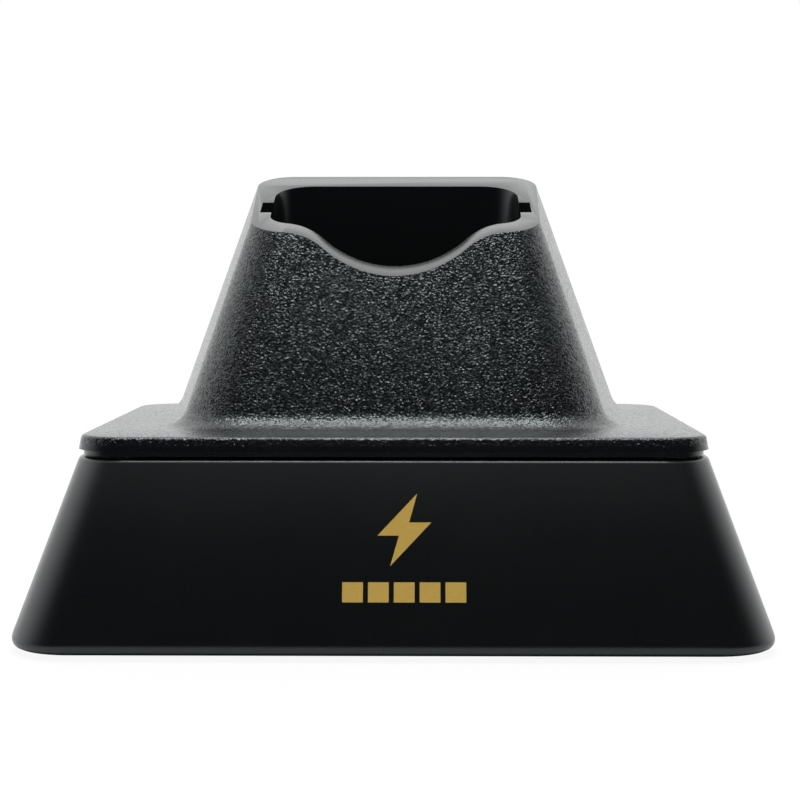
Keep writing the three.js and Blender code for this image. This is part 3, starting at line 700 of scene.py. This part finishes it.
CAMERA_LENS = 81
CAMERA_DISTANCE = 269.1 * MM     # from the front of the flange plate
CAMERA_ACROSS = 4.07 * MM
CAMERA_HEIGHT = 56.9 * MM
CAMERA_PITCH = math.radians(4.02)
CAMERA_YAW = math.radians(0.63)
FLOOR_RADIUS = 0.15              # small, so that upright faces don't mirror it
TENT_FRONT = 0.03                # brightness of the tent in front, low down
TENT_TOP = 1.1                   # straight above
TENT_BACK = 1.3                  # behind, low down
TENT_BACK_HIGH = 1.6             # behind, high up
COOL = (0.9, 1, 1.02, 1)         # tint of what the black ABS reflects head-on
OVERHEAD_POWER = 4.8
OVERHEAD_PLACE = (0, -0.08, 0.75)
OVERHEAD_AIM = (0, 0, 0.03)
OVERHEAD_SIZE = (0.4, 0.4)


def rectangle(z, half_width, half_depth, radius):
    """A ring that is the same at the front and the back."""
    return z, -half_depth, half_depth, half_width, half_width, radius, radius


def skirt_ring(sizes, z, inset):
    """The skirt's outline at a height, moved inwards by an inset."""
    rise = z - SKIRT_LOW.z
    share = rise / (SKIRT_HIGH.z - SKIRT_LOW.z)
    corner = sizes.skirt_corner_low * (1 - share) + sizes.skirt_corner_high * share
    half = Vector(SKIRT_FOOT)
    lean = sizes.skirt_draft * rise + inset
    return rectangle(z, half.x - lean, half.y - lean, max(corner - inset, MM))


def plate_ring(sizes, z, inset):
    """The flange plate's outline at a height, moved inwards by an inset."""
    share = (PLATE_TOP - z) / sizes.plate_thickness
    half = HOUSING_HIGH.xy
    inward = sizes.plate_flare * (1 - share) + inset
    return rectangle(z, half.x - inward, half.y - inward,
                     sizes.plate_corner + sizes.plate_flare - inward)


def tower_ring(z, inset):
    """The tower's outline at a height, moved inwards by an inset."""
    rise = z - PLATE_TOP
    front = TOWER_FRONT + TOWER_FRONT_DRAFT * rise + inset
    back = TOWER_BACK - TOWER_BACK_DRAFT * rise - inset
    half = TOWER_HALF - TOWER_SIDE_DRAFT * rise - inset
    loss = TOWER_CORNER_LOSS * rise + inset
    return (z, front, back, half + TOWER_SPREAD * front, half + TOWER_SPREAD * back,
            max(TOWER_CORNER_FRONT - loss, 1.5 * MM), max(TOWER_CORNER_BACK - loss, 1.5 * MM))


def well_ring(z, outset):
    """The well's outline at a height, moved outwards by an outset."""
    knee, top = (TOWER_FRONT + TOWER_FRONT_DRAFT * (height - PLATE_TOP) + FRONT_WALL
                 for height in (WELL_KNEE, WELL_TOP))
    levels = list(zip((WELL_FLOOR, WELL_KNEE, WELL_TOP), (WELL_FRONT, knee, top),
                      WELL_BACK, WELL_HALF))
    low, high = levels[1:] if z > WELL_KNEE else levels[:2]
    share = (z - low[0]) / (high[0] - low[0])
    front, back, half = (a + (b - a) * share for a, b in zip(low[1:], high[1:]))
    return (z, front - outset, back + outset, half + outset, half + outset,
            WELL_CORNERS[0] + outset, WELL_CORNERS[1] + outset)


def well_space(name, outset, bottom, steps=10):
    """The space inside the well, grown by an outset."""
    return loft(name, [well_ring(z, outset) for z in (bottom, WELL_KNEE, WELL_TOP)], steps)


def keyway_space(name, outset, bottom):
    """The two upright grooves in the well's side walls, as one bar across it."""
    reach = KEYWAY_REACH + outset
    return add_block(name, (-reach, KEYWAY_FRONT - outset, bottom),
                     (reach, KEYWAY_BACK + outset, WELL_TOP))


def space_above_rim(name, drop):
    """Everything above a plane parallel to the rim, a drop below it."""
    base = RIM_AT_MIDDLE - drop
    block = add_block(name, (-FAR, -FAR, base), (FAR, FAR, base + FAR))
    edit(block)
    for y in (-FAR, FAR):
        select_where(block, "VERT", lambda co: abs(co.y - y) < CLOSE)
        bpy.ops.transform.translate(value=(0, 0, RIM_SLOPE * y))
    bpy.ops.object.mode_set(mode="OBJECT")
    return block


def scoop_space(name):
    """The bell-shaped dip in the front wall, swept along the slope of the rim."""
    turned = 2 * math.atan(SCOOP_DEPTH / SCOOP_HALF)
    near = -1.5 * MM
    rim = RIM_AT_MIDDLE + RIM_SLOPE * near
    piece = single_vertex(name, (-SCOOP_HALF, near, rim + 25 * MM))
    extend((0, 0, -25 * MM))
    arcs = ((-SCOOP_HALF, rim - SCOOP_LIP, -turned, 10),
            (0, rim - SCOOP_DEPTH + SCOOP_BOWL, 2 * turned, 24),
            (SCOOP_HALF, rim - SCOOP_LIP, -turned, 10))
    for x, z, angle, steps in arcs:
        bpy.ops.mesh.spin(steps=steps, angle=angle, center=(x, near, z), axis=(0, 1, 0))
    extend((0, 0, 25 * MM))
    bpy.ops.mesh.select_all(action="SELECT")
    bpy.ops.mesh.edge_face_add()
    sweep = (0, -FAR, -FAR * RIM_SLOPE)
    bpy.ops.mesh.extrude_region_move(TRANSFORM_OT_translate={"value": sweep})
    bpy.ops.mesh.select_all(action="SELECT")
    bpy.ops.mesh.normals_make_consistent(inside=False)
    bpy.ops.object.mode_set(mode="OBJECT")
    return piece


# ---- pieces ----
def build_housing(sizes):
    """Tower and flange plate in one moulding, with the scooped rim and the well's mouth."""
    under = PLATE_TOP - sizes.plate_thickness
    seat = SKIRT_HIGH.z + 0.3 * MM
    rings = [plate_ring(sizes, under, sizes.groove_depth)]
    rings[0] = (seat, *rings[0][1:])
    rings.append(plate_ring(sizes, under, sizes.groove_depth))
    rings.append(plate_ring(sizes, under, 0))
    edge = [plate_ring(sizes, PLATE_TOP - down, inset)
            for down, inset in arc_steps(sizes.plate_edge, 4)]
    rings += reversed(edge)
    rings += [tower_ring(PLATE_TOP + up, -inset) for up, inset in arc_steps(sizes.tower_fillet, 7)]
    rings.append(tower_ring(WELL_TOP, 0))
    housing = loft("tower_housing", rings, steps=14)
    cut(housing, space_above_rim("rim_plane", 0), scoop_space("scoop"))
    hollow = loft("housing_hollow", [tower_ring(seat - MM, sizes.wall),
                                     tower_ring(48 * MM, sizes.wall)], steps=8)
    collar = well_space("collar", WELL_WALL, seat - 2 * MM)
    cut(housing, cut(hollow, collar))
    for corner in CORNERS:
        low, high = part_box(f"cover_screw_{corner}")
        middle = (low + high) / 2
        screw_post = add_post("screw_post", middle, 3.2 * MM, HOUSING_LOW.z, under + 0.5 * MM)
        add(housing, cut(screw_post, add_post("bore", middle, 1.75 * MM, 0, 17 * MM)))
        low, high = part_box(f"cup_screw_{corner}")
        middle = (low + high) / 2
        boss = add_post("boss", middle, 3 * MM, CUP_EAR[1] + 0.3 * MM, 43.5 * MM)
        add(housing, cut(boss, add_post("bore", middle, 1.6 * MM, 0, 42 * MM)))
    cut(housing, well_space("well_cut", 0, seat - 3 * MM),
        keyway_space("keyway_cut", 0, seat - 3 * MM))
    tidy(housing)
    return round_edges(housing, sizes.rim_lip, above=PLATE_TOP)


def build_skirt(sizes):
    """The flared lower shell, open at the top and the bottom."""
    low, high = SKIRT_LOW.z, SKIRT_HIGH.z
    ceiling = high - sizes.wall
    rings = [skirt_ring(sizes, low + up, inset) for up, inset in arc_steps(sizes.skirt_edge, 6)]
    top = [skirt_ring(sizes, high - down, inset)
           for down, inset in arc_steps(sizes.skirt_top_edge, 4)]
    rings += reversed(top)
    opening = (sizes.opening_width, sizes.opening_depth, 4 * MM)
    rings += [rectangle(high, *opening), rectangle(ceiling, *opening)]
    rings += [skirt_ring(sizes, ceiling, sizes.wall), skirt_ring(sizes, low, sizes.wall)]
    skirt = loft("skirt_shell", rings, steps=14, closed=True)
    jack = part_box("dc_jack_body")
    axis = (jack[0] + jack[1]) / 2
    deselect_all()
    bpy.ops.mesh.primitive_cylinder_add(radius=4.8 * MM, depth=20 * MM, vertices=64,
                                        location=(axis.x, jack[1].y + 8 * MM, axis.z),
                                        rotation=(math.pi / 2, 0, 0))
    cut(skirt, named("plug_hole"))
    tidy(skirt)
    return round_edges(skirt, 0.35 * MM)


def build_well(sizes):
    """The inner pocket: walls, floor and the two keyways, cut to the slope of the rim."""
    bottom = WELL_FLOOR - WELL_WALL
    pocket = well_space("well_pocket", WELL_WALL, bottom)
    add(pocket, keyway_space("keyway_wall", WELL_WALL, bottom))
    cut(pocket, space_above_rim("pocket_top", COLLAR_DEPTH + 0.3 * MM),
        well_space("well_inside", 0, WELL_FLOOR),
        keyway_space("keyway_inside", 0, WELL_FLOOR))
    for side in SIDES:
        low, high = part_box(f"contact_sleeve_{side}")
        middle = (low + high) / 2
        cut(pocket, add_post("contact_hole", middle, 2.9 * MM, bottom - MM, WELL_FLOOR + MM))
    for corner in CORNERS:
        low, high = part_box(f"cup_screw_{corner}")
        middle = (low + high) / 2
        inward = math.copysign(20 * MM, middle.x)
        ear_low, ear_high = CUP_EAR
        arm = add_block("arm", (min(middle.x, inward), middle.y - 3 * MM, ear_low),
                        (max(middle.x, inward), middle.y + 3 * MM, ear_high))
        add(arm, add_post("ear", middle, 3.4 * MM, ear_low, ear_high))
        add(pocket, cut(arm, add_post("ear_hole", middle, 1.6 * MM, ear_low - MM,
                                      ear_high + MM, 32)))
    tidy(pocket)
    return round_edges(pocket, 0.3 * MM)


def build_cover(sizes):
    """The bottom cover, with counterbored screw holes and pockets for the feet."""
    gap = 0.3 * MM
    rings = [skirt_ring(sizes, z, sizes.wall + gap) for z in (COVER_LOW.z, 4 * MM)]
    cover = loft("cover_plate", rings, steps=10)
    for corner in CORNERS:
        low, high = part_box(f"cover_screw_{corner}")
        middle = (low + high) / 2
        add(cover, add_post("screw_boss", middle, 5 * MM, 3.5 * MM, 6 * MM))
        cut(cover, add_post("counterbore", middle, 3.1 * MM, 0, 4.2 * MM),
            add_post("screw_hole", middle, 1.8 * MM, 0, 8 * MM))
        low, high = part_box(f"foot_{corner}")
        middle = (low + high) / 2
        cut(cover, add_post("foot_pocket", middle, (high.x - low.x) / 2 + gap, 0,
                            high.z + gap))
    for node, radius in (("ballast_screw", 2.5 * MM), ("board_screw", 2.5 * MM)):
        for side in SIDES:
            low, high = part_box(f"{node}_{side}")
            middle = (low + high) / 2
            top = COVER_HIGH.z if node == "ballast_screw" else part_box("circuit_board")[0].z - gap
            standoff = add_post("standoff", middle, radius, 3.5 * MM, top)
            add(cover, cut(standoff, add_post("pilot", middle, 1.4 * MM, 5 * MM, top + MM)))
    tidy(cover)
    return round_edges(cover, 0.3 * MM)


def build_foot(corner):
    """A rubber foot with a rounded tread edge and a shallow ring in its underside."""
    low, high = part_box(f"foot_{corner}")
    middle = (low + high) / 2
    radius = (high.x - low.x) / 2
    height = high.z - low.z
    edge = [(radius - inset, up) for up, inset in arc_steps(0.7 * MM, 5)]
    profile = [(0, 0.25 * MM), (radius - 2.6 * MM, 0.25 * MM), (radius - 2.2 * MM, 0)]
    profile += edge + [(radius, height), (0, height)]
    return turn(f"rubber_foot_{corner}", profile, (middle.x, middle.y, low.z), 64)


def build_screw(name, node, kind, facing, head_height, pitch=0.7 * MM):
    """A pan-head screw with a crossed recess and its thread, in the place of a CAD screw."""
    low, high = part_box(node)
    middle = (low + high) / 2
    length = high.z - low.z
    head = (high.y - low.y) / 2
    shank = SHANKS[kind]
    up = -facing
    face = low.z if facing < 0 else high.z
    dome = [(head * math.sin(a), up * head_height * 0.55 * (1 - math.cos(a)))
            for a in (math.pi / 12 * k for k in range(7))]
    profile = dome + [(head, up * head_height), (shank, up * head_height)]
    at = head_height + 0.4 * MM
    while at + pitch < length - shank:
        profile += [(shank, up * at), (shank * 0.8, up * (at + pitch / 2))]
        at += pitch
    profile += [(shank, up * at), (shank * 0.3, up * (length - 0.2 * MM)), (0, up * length)]
    screw = turn(name, profile, (middle.x, middle.y, face), 40)
    reach, depth = head * 0.6, head_height * 0.75
    for along in (0, 1):
        wide = Vector((0.32 * MM, reach, 0)) if along else Vector((reach, 0.32 * MM, 0))
        near = face - up * MM
        deep = face + up * depth
        centre = Vector((middle.x, middle.y, 0))
        slot = add_block("slot", centre - wide + Vector((0, 0, min(near, deep))),
                         centre + wide + Vector((0, 0, max(near, deep))))
        edit(slot)
        select_where(slot, "VERT", lambda co: abs(co.z - deep) < CLOSE)
        bpy.ops.transform.resize(value=(0.55, 0.55, 1), center_override=(*centre.xy, deep))
        bpy.ops.object.mode_set(mode="OBJECT")
        cut(screw, slot)
    return tidy(screw)


def build_sleeve(side):
    """The guide tube of a charging contact."""
    low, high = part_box(f"contact_sleeve_{side}")
    middle = (low + high) / 2
    tail = (high.x - low.x) / 2
    profile = [(0, 0), (tail - 0.2 * MM, 0), (tail, 0.2 * MM), (tail, 1.3 * MM),
               (2.6 * MM, 1.3 * MM), (2.6 * MM, 12.6 * MM), (2.5 * MM, 12.85 * MM),
               (2.3 * MM, 13 * MM), (1.75 * MM, 13 * MM), (1.6 * MM, 12.85 * MM),
               (1.6 * MM, 12.2 * MM), (1.9 * MM, 12.2 * MM), (1.9 * MM, 2.8 * MM), (0, 2.8 * MM)]
    return turn(f"contact_tube_{side}", profile, (middle.x, middle.y, low.z), 56)


def build_plunger(side):
    """The sprung tip of a charging contact, with its stop flange."""
    low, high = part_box(f"contact_plunger_{side}")
    middle = (low + high) / 2
    height = high.z - low.z
    tip = 1.3 * MM
    dome = [(tip * math.cos(a), height - tip + tip * math.sin(a))
            for a in (math.pi / 20 * k for k in range(10))]
    profile = [(0, 0), (1.5 * MM, 0), (1.6 * MM, 0.1 * MM), (1.6 * MM, 1.9 * MM),
               (1.5 * MM, 2 * MM), (tip, 2 * MM), *dome, (0, height)]
    return turn(f"contact_tip_{side}", profile, (middle.x, middle.y, low.z), 56)


def build_spring(side):
    """A compression spring: one round wire swept along a helix, with closed end turns."""
    low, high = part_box(f"contact_spring_{side}")
    middle = (low + high) / 2
    wire = 0.22 * MM
    radius = 1.2 * MM
    height = high.z - low.z - 2 * wire
    turns, steps = 6, 24
    curve = bpy.data.curves.new(f"spring_{side}", "CURVE")
    curve.dimensions = "3D"
    spline = curve.splines.new("POLY")
    count = turns * steps
    spline.points.add(count)
    for k, point in enumerate(spline.points):
        angle = 2 * math.pi * k / steps
        share = k / count
        rise = low.z + wire + height * (share - math.sin(2 * math.pi * share) / 16)
        point.co = (middle.x + radius * math.cos(angle), middle.y + radius * math.sin(angle),
                    rise, 1)
    curve.bevel_depth = wire
    curve.bevel_resolution = 3
    curve.use_fill_caps = True
    piece = bpy.data.objects.new(f"contact_coil_{side}", curve)
    bpy.context.scene.collection.objects.link(piece)
    make_active(piece)
    bpy.ops.object.convert(target="MESH")
    return bpy.context.object


def build_jack(sizes):
    """The power inlet's body: a square housing with a round mouth."""
    low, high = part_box("dc_jack_body")
    middle = (low + high) / 2
    body = add_block("inlet_body", low, high)
    for radius, depth in ((3.1 * MM, 10.5 * MM), (3.6 * MM, 0.8 * MM)):
        deselect_all()
        bpy.ops.mesh.primitive_cylinder_add(radius=radius, depth=2 * depth, vertices=64,
                                            location=(middle.x, high.y, middle.z),
                                            rotation=(math.pi / 2, 0, 0))
        cut(body, named("bore"))
    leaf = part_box("dc_jack_leaf")
    cut(body, add_block("leaf_slot", (-1.6 * MM, leaf[0].y - 0.5 * MM, low.z - MM),
                        (1.6 * MM, high.y - 1.5 * MM, middle.z - 2.4 * MM)))
    tidy(body)
    return round_edges(body, 0.2 * MM)


def build_mark(sizes):
    """The printed mark: a charging bolt above a row of level bars, laid on the front slope."""
    unit = sizes.mark_width / 18.3
    outline = [(1.9, 11), (-4, 4.6), (-0.8, 4.6), (-2.1, 0), (4, 6.6), (0.7, 6.6)]
    mark = single_vertex("charge_mark", (outline[0][0] * unit, 0, outline[0][1] * unit))
    for before, after in zip(outline, outline[1:]):
        extend(((after[0] - before[0]) * unit, 0, (after[1] - before[1]) * unit))
    bpy.ops.mesh.select_all(action="SELECT")
    bpy.ops.mesh.edge_face_add()
    bars, gap, height, middle = 5, 0.75, 3, -3.9
    bar = (18.3 - (bars - 1) * gap) / bars
    for k in range(bars):
        across = (k - (bars - 1) / 2) * (bar + gap)
        bpy.ops.mesh.select_all(action="DESELECT")
        bpy.ops.mesh.primitive_plane_add(size=unit, rotation=(math.pi / 2, 0, 0),
                                         location=(across * unit, 0, middle * unit))
        bpy.ops.transform.resize(value=(bar, 1, height))
    bpy.ops.mesh.select_all(action="SELECT")
    bpy.ops.mesh.extrude_region_move(TRANSFORM_OT_translate={"value": (0, INK_DEPTH, 0)})
    bpy.ops.mesh.select_all(action="SELECT")
    bpy.ops.mesh.normals_make_consistent(inside=False)
    bpy.ops.object.mode_set(mode="OBJECT")
    front = skirt_ring(sizes, MARK_BASE, 0)[1]
    mark.rotation_euler = (-math.atan(sizes.skirt_draft), 0, 0)
    mark.location = (MARK_ACROSS, front - INK_PROUD, MARK_BASE)
    make_active(mark)
    bpy.ops.object.transform_apply(location=True, rotation=True, scale=True)
    return mark


# ---- stage ----
def build_camera():
    """A camera in front of the stand, just above the height of the scooped wall."""
    data = bpy.data.cameras.new("camera")
    data.sensor_width = 36
    data.lens = CAMERA_LENS
    data.clip_start = 0.01
    camera = bpy.data.objects.new("camera", data)
    camera.location = (CAMERA_ACROSS, HOUSING_LOW.y - CAMERA_DISTANCE, CAMERA_HEIGHT)
    camera.rotation_euler = (math.pi / 2 - CAMERA_PITCH, 0, CAMERA_YAW)
    bpy.context.scene.collection.objects.link(camera)
    bpy.context.scene.camera = camera


def build_floor():
    """A plain pale floor of white acrylic that glows to the camera and so shows no edge."""
    material, tree, place = new_finish("Lit white acrylic")
    cloud = grain(tree, place, 0.4, detail=2)
    sheet = add_node(tree, "ShaderNodeBsdfPrincipled",
                     {"Base Color": tones(tree, cloud, (0.62, 0.62, 0.62), (0.66, 0.66, 0.66)),
                      "Roughness": 0.9}).outputs["BSDF"]
    glow = add_node(tree, "ShaderNodeEmission",
                    {"Color": (1, 1, 1, 1), "Strength": 1.0}).outputs[0]
    ray = add_node(tree, "ShaderNodeLightPath").outputs["Is Camera Ray"]
    share = between(tree, ray, 0.0, 0.92)
    mixed = add_node(tree, "ShaderNodeMixShader", {0: share, 1: sheet, 2: glow}).outputs[0]
    add_node(tree, "ShaderNodeOutputMaterial", {"Surface": mixed})
    deselect_all()
    bpy.ops.mesh.primitive_circle_add(vertices=96, radius=FLOOR_RADIUS, fill_type="NGON")
    floor = named("floor")
    floor.data.materials.append(material)


def build_world():
    """A light tent: bright behind and at the sides, dark around the camera, white to look at."""
    world = bpy.data.worlds.new("light tent")
    bpy.context.scene.world = world
    world.use_nodes = True
    tree = world.node_tree
    tree.nodes.clear()
    direction = add_node(tree, "ShaderNodeTexCoord").outputs["Generated"]
    parts = add_node(tree, "ShaderNodeSeparateXYZ", {"Vector": direction}).outputs

    def ramp(value, start, end, low, high):
        return add_node(tree, "ShaderNodeMapRange",
                        {"Value": value, "From Min": start, "From Max": end,
                         "To Min": low, "To Max": high},
                        interpolation_type="SMOOTHSTEP").outputs["Result"]

    front = ramp(parts["Z"], 0.58, 1.0, TENT_FRONT, TENT_TOP)
    back = ramp(parts["Z"], 0.2, 0.6, TENT_BACK, TENT_BACK_HIGH)
    # The dark side of the tent lies a little to the right.
    behind = add_node(tree, "ShaderNodeVectorMath", {0: direction, 1: (-0.15, 1, 0)},
                      operation="DOT_PRODUCT").outputs["Value"]
    level = add_node(tree, "ShaderNodeMix",
                     {"Factor": ramp(behind, -0.4, 0.45, 0.0, 1.0), "A": front,
                      "B": back}).outputs["Result"]
    lit = add_node(tree, "ShaderNodeBackground",
                   {"Color": (1, 1, 1, 1), "Strength": level}).outputs[0]
    seen = add_node(tree, "ShaderNodeBackground",
                    {"Color": (1, 1, 1, 1), "Strength": 1.0}).outputs[0]
    ray = add_node(tree, "ShaderNodeLightPath").outputs["Is Camera Ray"]
    mixed = add_node(tree, "ShaderNodeMixShader", {0: ray, 1: lit, 2: seen}).outputs[0]
    add_node(tree, "ShaderNodeOutputWorld", {"Surface": mixed})


def add_light(name, place, aim, size, power):
    """A soft rectangular light that points at a place."""
    data = bpy.data.lights.new(name, "AREA")
    data.shape = "RECTANGLE"
    data.size, data.size_y = size
    data.energy = power
    light = bpy.data.objects.new(name, data)
    light.location = place
    light.rotation_euler = (Vector(aim) - Vector(place)).to_track_quat("-Z", "Y").to_euler()
    bpy.context.scene.collection.objects.link(light)


# ---- operators ----
def sizes_of(context):
    return context.scene.stand_sizes


class STAND_OT_stage(bpy.types.Operator):
    """Adds the camera, the floor and the soft light"""

    bl_idname = "stand.stage"
    bl_label = "Stage"

    def execute(self, context):
        context.scene.view_settings.view_transform = "Standard"
        build_camera()
        build_floor()
        build_world()
        add_light("overhead", OVERHEAD_PLACE, OVERHEAD_AIM, OVERHEAD_SIZE, OVERHEAD_POWER)
        return {"FINISHED"}


class STAND_OT_finishes(bpy.types.Operator):
    """Makes the materials and gives them to the inner pieces that keep their shape"""

    bl_idname = "stand.finishes"
    bl_label = "Finishes"

    def execute(self, context):
        FINISHES.update(make_finishes(context.scene.stand_colours))
        slots = {row["node"]: row["material_slot"] for row in frame["record"]["subparts"]}
        for name, node in frame["nodes"].items():
            node.data.materials.clear()
            node.data.materials.append(FINISHES[slots[name]])
        return {"FINISHED"}


class STAND_OT_mouldings(bpy.types.Operator):
    """Models the upper housing, the skirt, the well pocket and the bottom cover"""

    bl_idname = "stand.mouldings"
    bl_label = "Mouldings"

    def execute(self, context):
        sizes = sizes_of(context)
        for build, slot, node in ((build_housing, "textured_black", "upper_housing"),
                                  (build_skirt, "satin_black", "skirt_base"),
                                  (build_well, "plain_black", "well_cup"),
                                  (build_cover, "plain_black", "bottom_cover")):
            finish_piece(build(sizes), FINISHES[slot], slot, STAND, node)
        return {"FINISHED"}


class STAND_OT_mark(bpy.types.Operator):
    """Prints the gold mark on the front of the skirt"""

    bl_idname = "stand.mark"
    bl_label = "Printed mark"

    def execute(self, context):
        slot = "printed_gold"
        finish_piece(build_mark(sizes_of(context)), FINISHES[slot], slot, STAND)
        return {"FINISHED"}


class STAND_OT_feet(bpy.types.Operator):
    """Models the rubber feet"""

    bl_idname = "stand.feet"
    bl_label = "Feet"

    def execute(self, context):
        for corner in CORNERS:
            finish_piece(build_foot(corner), FINISHES["foot_rubber"], "foot_rubber", STAND,
                         f"foot_{corner}")
        return {"FINISHED"}


class STAND_OT_screws(bpy.types.Operator):
    """Models every screw with its recess and thread"""

    bl_idname = "stand.screws"
    bl_label = "Screws"

    def execute(self, context):
        kinds = (("cover_screw", CORNERS, -1, 1.6), ("cup_screw", CORNERS, -1, 1.5),
                 ("ballast_screw", SIDES, 1, 1.5), ("block_screw", SIDES, -1, 1.3),
                 ("board_screw", SIDES, 1, 1.3))
        for kind, places, facing, head_height in kinds:
            for place in places:
                node = f"{kind}_{place}"
                screw = build_screw(f"{kind}_{place}_fine", node, kind, facing,
                                    head_height * MM)
                finish_piece(screw, FINISHES["zinc_screw"], "zinc_screw", STAND, node)
        return {"FINISHED"}


class STAND_OT_contacts(bpy.types.Operator):
    """Models the sprung charging contacts: tube, tip and spring"""

    bl_idname = "stand.contacts"
    bl_label = "Charging contacts"

    def execute(self, context):
        for side in SIDES:
            finish_piece(build_sleeve(side), FINISHES["contact_gold"], "contact_gold", STAND,
                         f"contact_sleeve_{side}")
            finish_piece(build_plunger(side), FINISHES["contact_gold"], "contact_gold",
                         f"contact_{side}", f"contact_plunger_{side}")
            spring = finish_piece(build_spring(side), FINISHES["spring_steel"],
                                  "spring_steel", STAND, f"contact_spring_{side}")
            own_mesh(spring)
        return {"FINISHED"}


class STAND_OT_inlet(bpy.types.Operator):
    """Models the power inlet at the rear"""

    bl_idname = "stand.inlet"
    bl_label = "Power inlet"

    def execute(self, context):
        finish_piece(build_jack(sizes_of(context)), FINISHES["black_component"],
                     "black_component", STAND, "dc_jack_body")
        return {"FINISHED"}


STEPS = (STAND_OT_stage, STAND_OT_finishes, STAND_OT_mouldings, STAND_OT_mark, STAND_OT_feet,
         STAND_OT_screws, STAND_OT_contacts, STAND_OT_inlet)


class STAND_PT_panel(bpy.types.Panel):
    """Lists the steps that build the charging stand"""

    bl_idname = "STAND_PT_panel"
    bl_label = "Charging Stand"
    bl_space_type = "VIEW_3D"
    bl_region_type = "UI"
    bl_category = "Charging Stand"

    def draw(self, context):
        for step in STEPS:
            self.layout.operator(step.bl_idname)
        for settings in (context.scene.stand_sizes, context.scene.stand_colours):
            column = self.layout.column()
            for name in settings.bl_rna.properties.keys():
                if name not in ("name", "rna_type"):
                    column.prop(settings, name)


CLASSES = (StandSizes, StandColours, *STEPS, STAND_PT_panel)


def register():
    for item in CLASSES:
        bpy.utils.register_class(item)
    bpy.types.Scene.stand_sizes = bpy.props.PointerProperty(type=StandSizes)
    bpy.types.Scene.stand_colours = bpy.props.PointerProperty(type=StandColours)


def unregister():
    del bpy.types.Scene.stand_colours
    del bpy.types.Scene.stand_sizes
    for item in reversed(CLASSES):
        bpy.utils.unregister_class(item)


def main():
    register()
    for step in STEPS:
        group, name = step.bl_idname.split(".")
        getattr(getattr(bpy.ops, group), name)()
    deselect_all()


if __name__ == "__main__":
    main()
